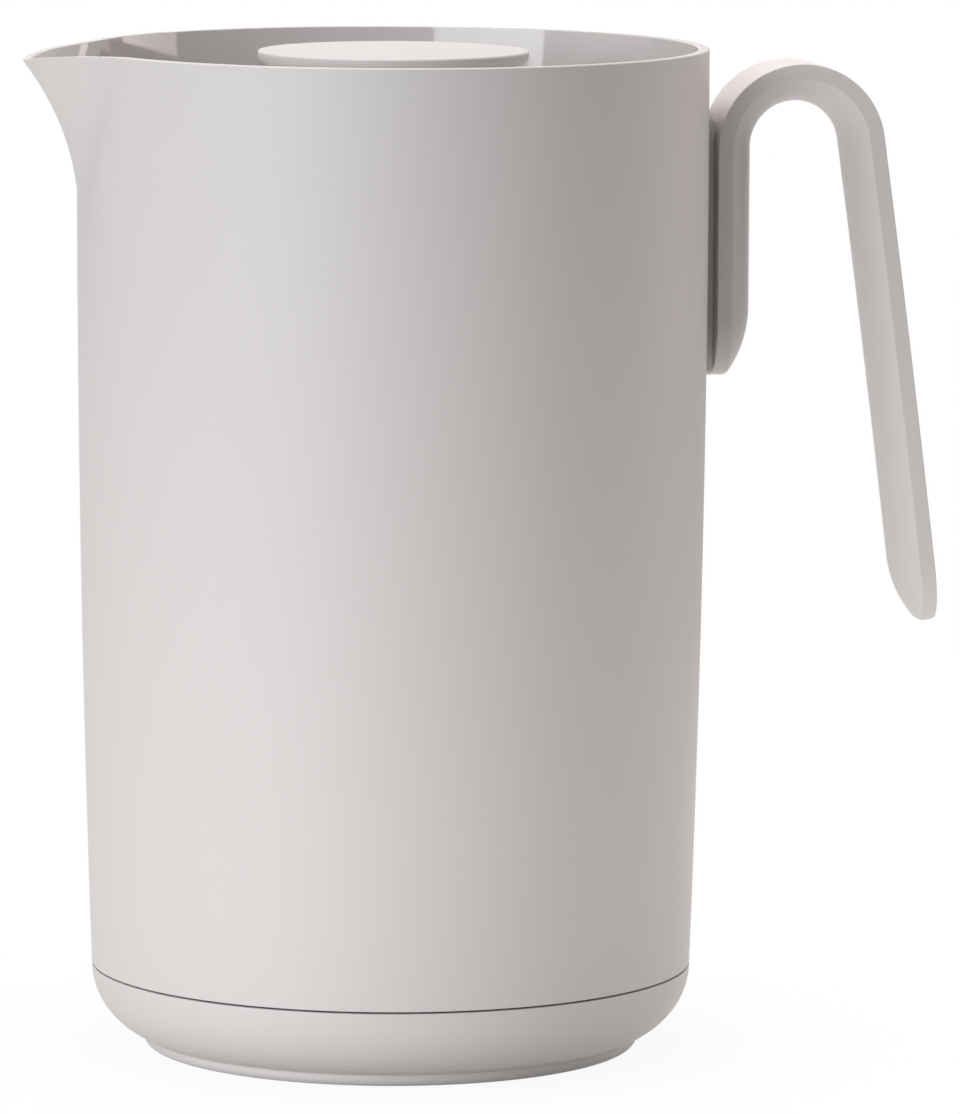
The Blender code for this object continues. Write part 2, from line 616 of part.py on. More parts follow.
def button_cap(button):
    """Round push button with the skirt that guides it and the boss for the stem."""
    edge, under = BUTTON_EDGE_ROUND, BUTTON_UNDER_ROUND
    shoulder = BUTTON_TOP - BUTTON_DOME
    flat = BUTTON_RADIUS - edge
    skirt_in = BUTTON_SKIRT_RADIUS - BUTTON_SKIRT_WALL
    skirt_low = BUTTON_UNDER - BUTTON_SKIRT_LENGTH
    boss = STEM_BORE + STEM_BOSS_WALL
    boss_low = BUTTON_UNDER - STEM_BOSS_LENGTH
    outline = [(0.0, BUTTON_TOP)]
    outline += [(flat * s, BUTTON_TOP - BUTTON_DOME * s * s) for s in (0.45, 0.8)]
    outline += arc(flat, shoulder - edge, edge, edge, 90.0, 0.0, 2)
    outline += arc(BUTTON_RADIUS - under, BUTTON_UNDER + under, under, under, 0.0, -90.0, 3)
    outline += [(BUTTON_SKIRT_RADIUS, BUTTON_UNDER), (BUTTON_SKIRT_RADIUS, skirt_low)]
    outline += [(skirt_in, skirt_low), (skirt_in, BUTTON_UNDER), (boss, BUTTON_UNDER)]
    outline += [(boss, boss_low), (STEM_BORE, boss_low)]
    outline += [(STEM_BORE, boss_low + STEM_GRIP), (0.0, boss_low + STEM_GRIP)]
    return piece("button_cap", turn(outline, BUTTON_STEPS), GREY_SHELL, 0.5, carrier=button)


def valve_works(button):
    """Stem, valve plate, its seal and the nut, which travel with the button."""
    bore = STEM_BORE
    stem = [(0.0, STEM_BOTTOM), (STEM_RADIUS, STEM_BOTTOM), (STEM_RADIUS, STEM_TOP), (0.0, STEM_TOP)]
    piece("valve_stem", turn(stem, 14), STEEL, 0.3, 1.0, carrier=button)
    seal_out = VALVE_RADIUS
    seal_in = VALVE_RADIUS - VALVE_SEAL_WIDTH
    ledge = seal_in - FIT_GAP
    ledge_top = VALVE_SEAL_TOP - VALVE_SEAL_THICKNESS / 2.0
    plate = [(bore, VALVE_PLATE_UNDER), (seal_in, VALVE_PLATE_UNDER), (VALVE_RADIUS, VALVE_PLATE_TOP)]
    plate += [(ledge, VALVE_PLATE_TOP), (ledge, ledge_top), (bore, ledge_top)]
    piece("valve_plate", turn(plate, INNER_STEPS), GREY_GLOSS, 0.3, carrier=button)
    low = VALVE_SEAL_TOP - VALVE_SEAL_THICKNESS
    seal = [(seal_in, low), (seal_out, low), (seal_out, VALVE_SEAL_TOP), (seal_in, VALVE_SEAL_TOP)]
    piece("valve_seal", turn(seal, INNER_STEPS), CLEAR_RUBBER, 0.5, carrier=button)
    piece("stem_nut", hexagon_ring(NUT_RADIUS, bore, NUT_TOP - NUT_HEIGHT, NUT_TOP), STEEL, 0.35, 1.0,
          carrier=button)


def hexagon_ring(corner, bore, low, high):
    """Six sided ring with a round bore."""
    turns = [math.tau * i / 12 for i in range(12)]
    outside = [corner * (1.0 if i % 2 == 0 else math.cos(math.pi / 6.0)) for i in range(12)]
    inside = [bore] * 12
    rings = []
    for radii, z in ((outside, low), (outside, high), (inside, high), (inside, low)):
        rings.append([(r * math.cos(t), r * math.sin(t), z) for r, t in zip(radii, turns)])
    return loft(rings, joined_ends=True)


def return_spring(lid):
    """Helix of round wire in the well, which pushes the button up."""
    wire = SPRING_WIRE / 2.0
    low = WELL_FLOOR_Z + FIT_GAP + wire
    high = BUTTON_UNDER - FIT_GAP - wire
    steps = 10 * SPRING_TURNS
    sides = 5
    rings = []
    for i in range(steps + 1):
        turned = math.tau * SPRING_TURNS * i / steps
        out = Vector((math.cos(turned), math.sin(turned), 0.0))
        middle = out * SPRING_RADIUS + Vector((0.0, 0.0, low + (high - low) * i / steps))
        across = [math.tau * k / sides for k in range(sides)]
        rings.append([middle + wire * (out * math.cos(a) + Vector((0, 0, math.sin(a)))) for a in across])
    mesh = bmesh.new()
    rows = [[mesh.verts.new(p * MM) for p in ring] for ring in rings]
    for low_row, high_row in zip(rows, rows[1:]):
        for k in range(sides):
            j = (k + 1) % sides
            mesh.faces.new((low_row[k], low_row[j], high_row[j], high_row[k]))
    mesh.faces.new(rows[0])
    mesh.faces.new(rows[-1])
    gap = (high - low) / SPRING_TURNS - SPRING_WIRE
    print(f"return_spring: {gap:.2f} mm between turns")
    return piece("return_spring", closed(mesh), STEEL, 0.3, 1.0, carrier=lid)


def tongue(distance, length):
    """Share of the full width at a distance from a rounded end."""
    if distance >= length:
        return 1.0
    return math.sqrt(max(0.0, 1.0 - (1.0 - distance / length) ** 2))


def crown(distance):
    """Height of the band's bulge, which falls to nothing at a rounded end."""
    if distance >= CROWN_FADE:
        return HANDLE_CROWN
    bend = (CROWN_FADE ** 2 + HANDLE_CROWN ** 2) / (2.0 * HANDLE_CROWN)
    back = CROWN_FADE - distance
    return HANDLE_CROWN - bend + math.sqrt(bend * bend - back * back)


def bulged(half, bulge):
    """Points of the round bulge between the band's two edges."""
    if bulge <= 0.0:
        return [(0.0, 0.0)] * 5
    bend = (half * half + bulge * bulge) / (2.0 * bulge)
    across = [half * math.sin(math.pi / 2.0 * i / 3.0) for i in range(-2, 3)]
    return [(y, math.sqrt(bend * bend - y * y) - bend + bulge) for y in across]


def handle_path():
    """Stations on the band's flat face: place, inward direction, distance from the nearest end."""
    end_shares = [1.0 - math.cos(math.pi / 2.0 * i / 6) for i in range(7)]
    end_length = max(TONGUE_LENGTH, CROWN_FADE)
    stations = []
    for share in end_shares:
        up = end_length * share
        stations.append((Vector((LEG_BACK, 0.0, LEG_END_Z + up)), Vector((1.0, 0.0, 0.0)), up))
    middle = Vector((LEG_BACK + ARCH_RADIUS, 0.0, ARCH_Z))
    bend_steps = 14
    for i in range(bend_steps + 1):
        turned = math.pi - (math.pi - GRIP_LEAN) * i / bend_steps
        out = Vector((math.cos(turned), 0.0, math.sin(turned)))
        stations.append((middle + out * ARCH_RADIUS, -out, end_length))
    start = stations[-1][0]
    rate = GRIP_LEAN_EASE / GRIP_LENGTH
    runs = [GRIP_LENGTH - end_length * s for s in reversed(end_shares)]
    runs = [runs[0] * i / 4 for i in range(1, 4)] + runs
    for run in runs:
        lean = GRIP_LEAN + rate * run
        x = start.x + (math.cos(GRIP_LEAN) - math.cos(lean)) / rate
        z = start.z - (math.sin(lean) - math.sin(GRIP_LEAN)) / rate
        inward = Vector((-math.cos(lean), 0.0, -math.sin(lean)))
        stations.append((Vector((x, 0.0, z)), inward, GRIP_LENGTH - run))
    return stations


def handle():
    """Arched band: flat outside, bulged inside, with tongue shaped ends."""
    rings = []
    for place, inward, distance in handle_path():
        half = HANDLE_WIDTH / 2.0 * tongue(distance, TONGUE_LENGTH)
        bulge = crown(distance)
        section = [(-half, 0.0), (-half, HANDLE_SIDE)]
        section += [(y, HANDLE_SIDE + rise) for y, rise in bulged(half, bulge)]
        section += [(half, HANDLE_SIDE), (half, 0.0)]
        rings.append([place + inward * depth + Vector((0.0, y, 0.0)) for y, depth in section])
    item = piece("handle", loft(rings), GREY_SHELL, 0.5)
    for i, z in enumerate(SCREW_HEIGHTS):
        hole = rod(SCREW_BORE, LEG_BACK - HANDLE_GAP, LEG_BACK + SCREW_BITE + FIT_GAP, 0.0, z, 12)
        cut(item, hole, f"handle_screw_hole_{i + 1}")
    return item


def handle_strip():
    """Strip between the shell and the handle's leg, hollowed to the shell's side."""
    low = LEG_END_Z + STRIP_END_INSET
    high = RIM_Z - STRIP_TOP_DROP
    round_end = STRIP_END_ROUND
    ends = [round_end * (1.0 - math.cos(math.pi / 2.0 * i / 4)) for i in range(5)]
    heights = [low + e for e in ends] + [(low + high) / 2.0] + [high - e for e in reversed(ends)]
    rings = []
    for z in heights:
        half = STRIP_WIDTH / 2.0 * tongue(min(z - low, high - z), round_end)
        outer = LEG_BACK - FIT_GAP
        across = [half * s for s in (-1.0, -0.5, 0.0, 0.5, 1.0)]
        ring = [(math.sqrt((side_radius(z) + FIT_GAP) ** 2 - y * y), y, z) for y in across]
        rings.append(ring + [(outer, half, z), (outer, -half, z)])
    item = piece("handle_strip", loft(rings), GREY_SHELL, 0.5)
    for i, z in enumerate(SCREW_HEIGHTS):
        hole = rod(SCREW_BORE, RIM_RADIUS - SHELL_WALL, LEG_BACK + HANDLE_GAP, 0.0, z, 12)
        cut(item, hole, f"strip_screw_hole_{i + 1}")
    return item


def handle_screws():
    """Screws from inside the shell into the handle's leg."""
    for i, z in enumerate(SCREW_HEIGHTS):
        seat = math.sqrt((side_radius(z) - SHELL_WALL) ** 2 - SCREW_HEAD_RADIUS ** 2) - FIT_GAP
        tip = LEG_BACK + SCREW_BITE
        crown_start = seat - SCREW_HEAD_HEIGHT
        outline = [(0.0, crown_start), (SCREW_HEAD_RADIUS * 0.75, crown_start)]
        outline += [(SCREW_HEAD_RADIUS, seat - SCREW_HEAD_HEIGHT / 2.0), (SCREW_HEAD_RADIUS, seat)]
        outline += [(SCREW_SHANK, seat), (SCREW_SHANK, tip - SCREW_SHANK), (0.0, tip)]
        screw = turn(outline, 12)
        lay = Matrix.Translation((0.0, 0.0, z * MM)) @ Matrix.Rotation(math.pi / 2.0, 4, "Y")
        bmesh.ops.transform(screw, matrix=lay, verts=screw.verts)
        piece(f"handle_screw_{i + 1}", screw, STEEL, 0.35, 1.0)


def main():
    for item in list(bpy.data.objects):
        bpy.data.objects.remove(item, do_unlink=True)
    outer_shell()
    base_cap()
    base_seal()
    flask_inner()
    flask_outer()
    flask_spacers()
    cushion()
    flask_seal()
    pour_collar()
    collar_seal()
    handle()
    handle_strip()
    handle_screws()
    lid = carrier("lid_axis", SEAT_Z)
    stopper_body(lid)
    stopper_gasket(lid)
    stopper_cover(lid)
    return_spring(lid)
    button = carrier("button_axis", BUTTON_UNDER)
    button_cap(button)
    valve_works(button)


main()
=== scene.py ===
# Looks of an insulated jug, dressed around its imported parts: fine meshes, finishes, studio and camera.
# Sizes are in millimetres and turn into metres where a mesh, lamp or camera is made.
import json
from math import acos, atan2, cos, degrees, hypot, pi, radians, sin, sqrt, tan, tau

import bmesh
import bpy
from mathutils import Matrix, Vector


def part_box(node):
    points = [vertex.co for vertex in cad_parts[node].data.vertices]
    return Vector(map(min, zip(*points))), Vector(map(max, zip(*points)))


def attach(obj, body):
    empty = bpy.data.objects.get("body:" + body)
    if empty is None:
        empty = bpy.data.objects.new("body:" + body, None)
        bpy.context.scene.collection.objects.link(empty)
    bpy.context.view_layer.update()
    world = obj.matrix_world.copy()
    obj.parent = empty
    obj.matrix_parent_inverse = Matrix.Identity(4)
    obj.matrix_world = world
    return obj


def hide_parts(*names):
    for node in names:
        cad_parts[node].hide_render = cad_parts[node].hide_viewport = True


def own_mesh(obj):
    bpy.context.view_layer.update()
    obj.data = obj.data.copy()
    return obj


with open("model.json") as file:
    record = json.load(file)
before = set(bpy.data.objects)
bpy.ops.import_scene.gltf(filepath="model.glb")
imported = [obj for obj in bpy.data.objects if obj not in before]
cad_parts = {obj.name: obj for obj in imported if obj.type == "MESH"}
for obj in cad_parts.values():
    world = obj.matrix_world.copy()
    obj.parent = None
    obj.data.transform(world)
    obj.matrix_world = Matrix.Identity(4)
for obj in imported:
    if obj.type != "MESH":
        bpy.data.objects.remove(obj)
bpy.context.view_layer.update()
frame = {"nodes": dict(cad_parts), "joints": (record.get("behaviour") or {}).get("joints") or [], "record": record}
mm = 0.001
scene = bpy.context.scene
bodyOf = {node: body for body, nodes in frame["record"]["behaviour"]["bodies"].items() for node in nodes}
print("frame loaded:", len(frame["nodes"]), "nodes")


# Shader wiring: maths on a Wire adds Math nodes, node() adds any other kind.
class Wire:
    def __init__(self, tree, socket=None):
        self.tree = tree
        self.socket = socket

    def node(self, kind, settings=None, sockets=None, out=0):
        made = self.tree.nodes.new(kind)
        for key, value in (settings or {}).items():
            setattr(made, key, value)
        for key, value in (sockets or {}).items():
            if isinstance(value, Wire):
                self.tree.links.new(value.socket, made.inputs[key])
            else:
                made.inputs[key].default_value = value
        return Wire(self.tree, made.outputs[out])

    def maths(self, operation, first, second):
        return self.node("ShaderNodeMath", {"operation": operation}, {0: first, 1: second})

    def __add__(self, other):
        return self.maths("ADD", self, other)

    def __sub__(self, other):
        return self.maths("SUBTRACT", self, other)

    def __rsub__(self, other):
        return self.maths("SUBTRACT", other, self)

    def __mul__(self, other):
        return self.maths("MULTIPLY", self, other)

    def __rtruediv__(self, other):
        return self.maths("DIVIDE", other, self)

    def __pow__(self, other):
        return self.maths("POWER", self, other)

    __radd__ = __add__
    __rmul__ = __mul__

    def between(self, start, end):     # 0 before start, 1 after end, soft in between
        sockets = {"Value": self, "From Min": start, "From Max": end}
        return self.node("ShaderNodeMapRange", {"interpolation_type": "SMOOTHSTEP"}, sockets)

    def noise(self, size, detail=2.0, roughness=0.5):     # self is a place, size in mm
        sockets = {"Vector": self, "Scale": 1.0 / (size * mm), "Detail": detail, "Roughness": roughness}
        return self.node("ShaderNodeTexNoise", None, sockets)

    def drift(self):     # a noise counted from its middle
        return self - 0.5

    def stretched(self, scale):     # self is a place, scaled along each axis
        return self.node("ShaderNodeVectorMath", {"operation": "MULTIPLY"}, {0: self, 1: scale})

    def tint(self, dark, light):     # colour between two colours, by this value
        sockets = {0: self, 6: (*dark, 1), 7: (*light, 1)}     # 6, 7 and output 2 are the colour ones
        return self.node("ShaderNodeMix", {"data_type": "RGBA"}, sockets, 2)

    def bumped(self, depth, strength=1.0):
        sockets = {"Height": self, "Distance": depth * mm, "Strength": strength}
        return self.node("ShaderNodeBump", None, sockets)

    def feed(self, shader, name):
        self.tree.links.new(self.socket, shader.inputs[name])


def newFinish(name, **fixed):
    # material with one Principled shader, its fixed sockets set and the place on the part as a Wire
    material = bpy.data.materials.new(name)
    material.use_nodes = True
    shader = material.node_tree.nodes["Principled BSDF"]
    for socket, value in fixed.items():
        shader.inputs[socket.replace("_", " ")].default_value = value
    place = Wire(material.node_tree).node("ShaderNodeTexCoord", out="Object")
    return material, shader, place


def shade(colour, amount):
    return tuple(c * amount for c in colour)


def mottled(tone, colour, amount):
    return tone.tint(shade(colour, 1 - amount), shade(colour, 1 + amount))


def mouldedPlastic(name, look):
    # fine spark-eroded grain under a soft sheen, with faint clouds in tone and gloss
    cloudShare, grainGloss, grainStrength = 0.75, 0.08, 0.6
    material, shader, place = newFinish(name, IOR=1.49)
    clouds = place.noise(look["cloud"], detail=3.0)
    grain = place.noise(look["grain"], detail=4.0, roughness=0.6)
    tone = cloudShare * clouds + (1 - cloudShare) * grain
    mottled(tone, look["colour"], look["mottle"]).feed(shader, "Base Color")
    gloss = look["roughness"] + look["glossDrift"] * clouds.drift() + grainGloss * grain.drift()
    gloss.feed(shader, "Roughness")
    grain.bumped(look["grainDepth"], grainStrength).feed(shader, "Normal")
    return material


def polishedPlastic(name, look):
    # polished moulding: slow waves of the surface and hair fine upright rub marks in the gloss
    mottle, rubStretch, rubGloss = 0.015, 0.08, 0.05
    material, shader, place = newFinish(name, IOR=1.5)
    clouds = place.noise(look["cloud"], detail=2.0)
    waves = place.noise(look["wave"], detail=1.0)
    rubs = place.stretched((1, 1, rubStretch)).noise(look["rub"], detail=4.0, roughness=0.7)
    mottled(clouds, look["colour"], mottle).feed(shader, "Base Color")
    (look["roughness"] + rubGloss * rubs.between(0.45, 0.8)).feed(shader, "Roughness")
    waves.bumped(look["waveDepth"]).feed(shader, "Normal")
    return material


def softRubber(name, look):
    # rubber, silicone or felt: bloom in soft patches over a fine dusty skin
    bloomSize, bloomGloss, dustSize, dustDepth = 6.0, 0.12, 0.18, 0.012
    material, shader, place = newFinish(name, IOR=1.43, Subsurface_Weight=look["depth"],
                                        Subsurface_Radius=(0.004, 0.0036, 0.0033), Subsurface_Scale=0.5)
    bloom = place.noise(bloomSize, detail=4.0, roughness=0.6)
    bloom.tint(look["colour"], look["bloom"]).feed(shader, "Base Color")
    (look["roughness"] + bloomGloss * bloom.drift()).feed(shader, "Roughness")
    place.noise(dustSize, detail=3.0).bumped(dustDepth).feed(shader, "Normal")
    return material


def silveredGlass(name, look):
    # mirror coat behind glass, with slow ripples of the blown wall and faint streaks in the silver
    streakStretch, streakGloss = 0.12, 0.05
    material, shader, place = newFinish(name, Metallic=1.0, Coat_Weight=0.6, Coat_Roughness=0.02)
    ripples = place.noise(look["ripple"], detail=1.0)
    streaks = place.stretched((1, 1, streakStretch)).noise(look["streak"], detail=3.0)
    streaks.tint(look["colour"], look["bright"]).feed(shader, "Base Color")
    (look["roughness"] + streakGloss * streaks.between(0.55, 0.85)).feed(shader, "Roughness")
    ripples.bumped(look["rippleDepth"]).feed(shader, "Normal")
    return material


def turnedSteel(name, look):
    # fine lathe lines around the jug's axis, or drawn lines along a wire
    lineShare, lineGloss, lineDepth, stainSize = 0.6, 0.14, 0.006, 4.0
    material, shader, place = newFinish(name, Metallic=1.0, Anisotropic=0.4)
    lines = place.stretched(look["along"]).noise(look["line"], detail=3.0, roughness=0.7)
    stains = place.noise(stainSize, detail=3.0)
    tone = lineShare * lines + (1 - lineShare) * stains
    tone.tint(look["colour"], look["bright"]).feed(shader, "Base Color")
    (look["roughness"] + lineGloss * lines.drift()).feed(shader, "Roughness")
    lines.bumped(lineDepth).feed(shader, "Normal")
    return material


warmGrey = (0.640, 0.617, 0.598)
shellFinish = mouldedPlastic("matteShell", {
    "colour": warmGrey, "roughness": 0.54, "glossDrift": 0.05, "mottle": 0.012,
    "cloud": 34.0, "grain": 0.32, "grainDepth": 0.012})
handleFinish = mouldedPlastic("matteHandle", {
    "colour": (0.738, 0.706, 0.684), "roughness": 0.44, "glossDrift": 0.08, "mottle": 0.014,
    "cloud": 22.0, "grain": 0.30, "grainDepth": 0.012})
buttonFinish = mouldedPlastic("matteButton", {
    "colour": (0.618, 0.609, 0.592), "roughness": 0.53, "glossDrift": 0.05, "mottle": 0.010,
    "cloud": 18.0, "grain": 0.26, "grainDepth": 0.010})
insideFinish = polishedPlastic("polishedShell", {
    "colour": shade(warmGrey, 0.86), "roughness": 0.05, "cloud": 30.0, "wave": 9.0, "waveDepth": 0.006,
    "rub": 0.5})
lidFinish = polishedPlastic("polishedLid", {
    "colour": warmGrey, "roughness": 0.20, "cloud": 20.0, "wave": 7.0, "waveDepth": 0.008, "rub": 0.4})
darkRubber = softRubber("darkRubber", {
    "colour": (0.022, 0.021, 0.021), "bloom": (0.040, 0.039, 0.038), "roughness": 0.62, "depth": 0.0})
clearSilicone = softRubber("clearSilicone", {
    "colour": (0.66, 0.655, 0.64), "bloom": (0.72, 0.715, 0.70), "roughness": 0.38, "depth": 0.35})
padFelt = softRubber("padFelt", {
    "colour": (0.58, 0.57, 0.55), "bloom": (0.70, 0.69, 0.67), "roughness": 0.85, "depth": 0.1})
flaskFinish = silveredGlass("silveredGlass", {
    "colour": (0.86, 0.86, 0.865), "bright": (0.93, 0.93, 0.935), "roughness": 0.045, "ripple": 26.0,
    "rippleDepth": 0.03, "streak": 3.0})
steelFinish = turnedSteel("turnedSteel", {
    "colour": (0.52, 0.52, 0.525), "bright": (0.68, 0.68, 0.685), "roughness": 0.27, "line": 0.12,
    "along": (0.06, 0.06, 1.0)})
springFinish = turnedSteel("springWire", {
    "colour": (0.50, 0.50, 0.505), "bright": (0.66, 0.66, 0.665), "roughness": 0.24, "line": 0.10,
    "along": (0.15, 0.15, 1.0)})
print("finishes made:", len(bpy.data.materials))


# Mesh tools. A corner is (radius, height, round), and a shape is (points, faces).
tiny = 1e-6
mergeReach = {"raw": 1e-7, "carved": 4e-6}     # metres


def low(node):
    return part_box(node)[0].z / mm


def high(node):
    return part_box(node)[1].z / mm


def span(node):
    return low(node), high(node)


def middle(node):
    return sum(span(node)) / 2


def smooth(share):
    # soft step from 0 to 1
    share = min(1.0, max(0.0, share))
    return share * share * (3 - 2 * share)


def slowStart(steps):
    # shares from 0 to 1, close together at first
    return [1 - cos(pi / 2 * i / steps) for i in range(steps + 1)]


def circle(steps):
    return [tau * i / steps for i in range(steps)]


def rectangle(half, rise):
    return [(-half, -rise), (half, -rise), (half, rise), (-half, rise)]


def arc(r, z, width, height, start, end, steps):
    # corners on an elliptic arc, with nothing to round off; 0 degrees is outwards and 90 is up
    angles = [radians(start + (end - start) * i / steps) for i in range(steps + 1)]
    return [(r + width * cos(a), z + height * sin(a), 0.0) for a in angles]


def rounded(corners, steps=5):
    # closed outline with each corner rounded to its size, as far as its two sides allow
    mostOfSide = 0.48
    outline = []
    for i, (x, z, size) in enumerate(corners):
        here = Vector((x, z))
        back = Vector(corners[i - 1][:2]) - here
        ahead = Vector(corners[(i + 1) % len(corners)][:2]) - here
        if size == 0.0:
            outline.append((x, z))
            continue
        if min(back.length, ahead.length) < tiny:
            outline += [(x, z)] * (steps + 1)
            continue
        half = back.angle(ahead) / 2
        reach = min(size / tan(half), mostOfSide * min(back.length, ahead.length))
        hub = here + (back.normalized() + ahead.normalized()).normalized() * reach / cos(half)
        first = here + back.normalized() * reach - hub
        last = here + ahead.normalized() * reach - hub
        sweep = atan2(first.cross(last), first.dot(last))
        for k in range(steps + 1):
            turned = sweep * k / steps
            c, s = cos(turned), sin(turned)
            outline.append((hub.x + first.x * c - first.y * s, hub.y + first.x * s + first.y * c))
    return outline


def skin(rings, joined=True):
    # faces over rings of points; the last ring joins the first one on a hollow piece
    around = len(rings[0])
    points = [p for ring in rings for p in ring]
    faces = []
    for k in range(len(rings) if joined else len(rings) - 1):
        here, there = k * around, (k + 1) % len(rings) * around
        for i in range(around):
            j = (i + 1) % around
            faces.append((here + i, here + j, there + j, there + i))
    return points, faces


def lathe(corners, steps=128):
    # piece turned about the jug's axis from a closed outline of corners
    angles = circle(steps)
    rings = [[(r * cos(a), r * sin(a), z) for a in angles] for r, z in rounded(corners)]
    return skin(rings, joined=corners[0][0] > 0.0 or corners[-1][0] > 0.0)


def cleaned(mesh, reach):
    # merge points closer than reach, drop flat faces, close open ends and turn all faces out
    work = bmesh.new()
    work.from_mesh(mesh)
    bmesh.ops.remove_doubles(work, verts=work.verts, dist=reach)
    bmesh.ops.dissolve_degenerate(work, edges=work.edges, dist=reach / 10)
    ends = [e for e in work.edges if e.is_boundary]
    if ends:
        bmesh.ops.holes_fill(work, edges=ends)
    bmesh.ops.recalc_face_normals(work, faces=work.faces)
    work.to_mesh(mesh)
    work.free()


def placed(name, data):
    made = bpy.data.objects.new(name, data)
    scene.collection.objects.link(made)
    return made


def rawObject(name, shape):
    mesh = bpy.data.meshes.new(name)
    mesh.from_pydata([Vector(p) * mm for p in shape[0]], [], shape[1])
    cleaned(mesh, mergeReach["raw"])
    return placed(name, mesh)


def carve(piece, cutters):
    # take the cutters' shapes out of a piece for good
    for shape in cutters:
        tool = rawObject("tool", shape)
        boolean = piece.modifiers.new("carve", "BOOLEAN")
        boolean.operation = "DIFFERENCE"
        boolean.object = tool
        seen = piece.evaluated_get(bpy.context.evaluated_depsgraph_get())
        piece.data = bpy.data.meshes.new_from_object(seen)
        piece.modifiers.clear()
        bpy.data.objects.remove(tool)
    if cutters:
        cleaned(piece.data, mergeReach["carved"])


def standFor(node, shape, finishes, cutters=(), crease=40):
    # new piece in place of a CAD node, on the node's body and with its material slot
    words = node.split("_")
    name = words[0] + "".join(word.title() for word in words[1:])
    piece = rawObject(name if len(words) > 1 else name + "Band", shape)
    for finish in finishes:
        piece.data.materials.append(finish)
    carve(piece, cutters)
    piece.data.shade_smooth()
    piece.data.set_sharp_from_angle(angle=radians(crease))
    even = piece.modifiers.new("evenNormals", "WEIGHTED_NORMAL")
    even.keep_sharp = True
    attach(piece, bodyOf[node])
    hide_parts(node)
    return piece


def barAlongX(radius, start, end, z, steps=24):
    angles = circle(steps)
    rings = [[(x, radius * cos(a), z + radius * sin(a)) for a in angles] for x in (start, end)]
    return skin(rings, joined=False)


# Outer shell with the flared pouring lip, matte outside and polished inside.
shell = {
    "rimRadius": 65.0, "sideHeight": 190.4, "wall": 2.6, "straightTop": 27.5, "drawIn": 2.8,
    "rimRound": 0.32, "innerRound": 0.2,
    "rimThin": 0.75, "draftDepth": 8.5,     # the inside of the rim leans out, so its top is thinner
    "backThin": 0.12,     # less so by the handle, fully from the second angle on
    "backFrom": radians(138.0), "backTo": radians(174.0),
    "seamRound": 0.12, "seamLap": 0.12,     # lap: the seam shows a little finer
    "levels": 64, "lipSteps": 40, "roundSteps": 74}
lip = {
    "reach": 11.62, "depth": 35.5, "dip": 2.2, "dipTurn": radians(33.0), "turn": radians(17.6),
    "blend": 0.3,     # hollow between cheek and side, as a share of the turn
    "softness": radians(1.2), "crowding": 1.6}
fitGap = 0.3     # between pieces that sit in each other
screwBore = 2.2
screwHeights = [middle(node) for node in ("handle_screw_1", "handle_screw_2")]
rimTop = high("outer_shell")
shellBottom = low("outer_shell") - shell["seamLap"]
seamTop = rimTop - shell["sideHeight"]     # top edge of the base, where the side's taper ends


def sideRadius(z):
    drawn = max(0.0, rimTop - shell["straightTop"] - z) / (rimTop - shell["straightTop"] - seamTop)
    return shell["rimRadius"] - shell["drawIn"] * drawn * drawn


def flare(z):
    rise = lip["depth"] - lip["dip"]
    bend = (lip["reach"] ** 2 + rise ** 2) / (2 * lip["reach"])
    up = min(max(0.0, z - rimTop + lip["depth"]), bend)
    return bend - sqrt(bend * bend - up * up)


def shellRadius(turned, z):
    # outside of the shell at an angle from the lip's middle
    reach = flare(z)
    if reach == 0.0:
        return sideRadius(z)
    off = hypot(turned, lip["softness"]) - lip["softness"]
    left = 1 - off / (lip["turn"] * sqrt(reach / lip["reach"]))
    if left < lip["blend"]:
        left = max(0.0, left + lip["blend"]) ** 2 / (4 * lip["blend"])
    return sideRadius(z) + reach * left


def rimHeight(turned):
    return rimTop - lip["dip"] * max(0.0, 1 - abs(turned) / lip["dipTurn"]) ** 3


def shellTurns():
    # angles around from the lip's middle, close together at its tip
    reach = lip["dipTurn"]
    half = [reach * (i / shell["lipSteps"]) ** lip["crowding"] for i in range(shell["lipSteps"] + 1)]
    half += [reach + (pi - reach) * i / shell["roundSteps"] for i in range(1, shell["roundSteps"] + 1)]
    return half + [-t for t in reversed(half[1:-1])]


def fromLip(turned, r, z):
    # point at an angle from the lip's middle
    return -r * cos(turned), -r * sin(turned), z


def rimThinning(turned):
    share = smooth((abs(turned) - shell["backFrom"]) / (shell["backTo"] - shell["backFrom"]))
    return shell["rimThin"] + (shell["backThin"] - shell["rimThin"]) * share


def shellOutline(turned):
    # (inset, height) at an angle from the lip's middle, up the outside and down the inside
    rim, edge, seam = shell["rimRound"], shell["innerRound"], shell["seamRound"]
    wall, draft, levels = shell["wall"], shell["draftDepth"], shell["levels"]
    edgeSteps, draftSteps = 8, 12
    top, thin, foot = rimHeight(turned), rimThinning(turned), shellBottom + seam
    quarter = [(sin(a), cos(a)) for a in (pi / 2 * i / edgeSteps for i in range(edgeSteps + 1))]
    line = [(seam * (1 - s), shellBottom + seam * (1 - c)) for s, c in quarter]
    line += [(0.0, foot + (top - rim - foot) * i / levels) for i in range(1, levels)]
    line += [(rim * (1 - c), top - rim * (1 - s)) for s, c in quarter]
    line += [(wall - thin - edge * (1 - s), top - edge * (1 - c)) for s, c in quarter]
    for i in range(1, draftSteps + 1):
        line.append((wall - thin * (1 - i / draftSteps), top - edge - (draft - edge) * i / draftSteps))
    line += [(wall, foot + (top - draft - foot) * i / levels) for i in reversed(range(1, levels))]
    return line + [(wall - seam * (1 - c), shellBottom + seam * (1 - s)) for s, c in quarter]


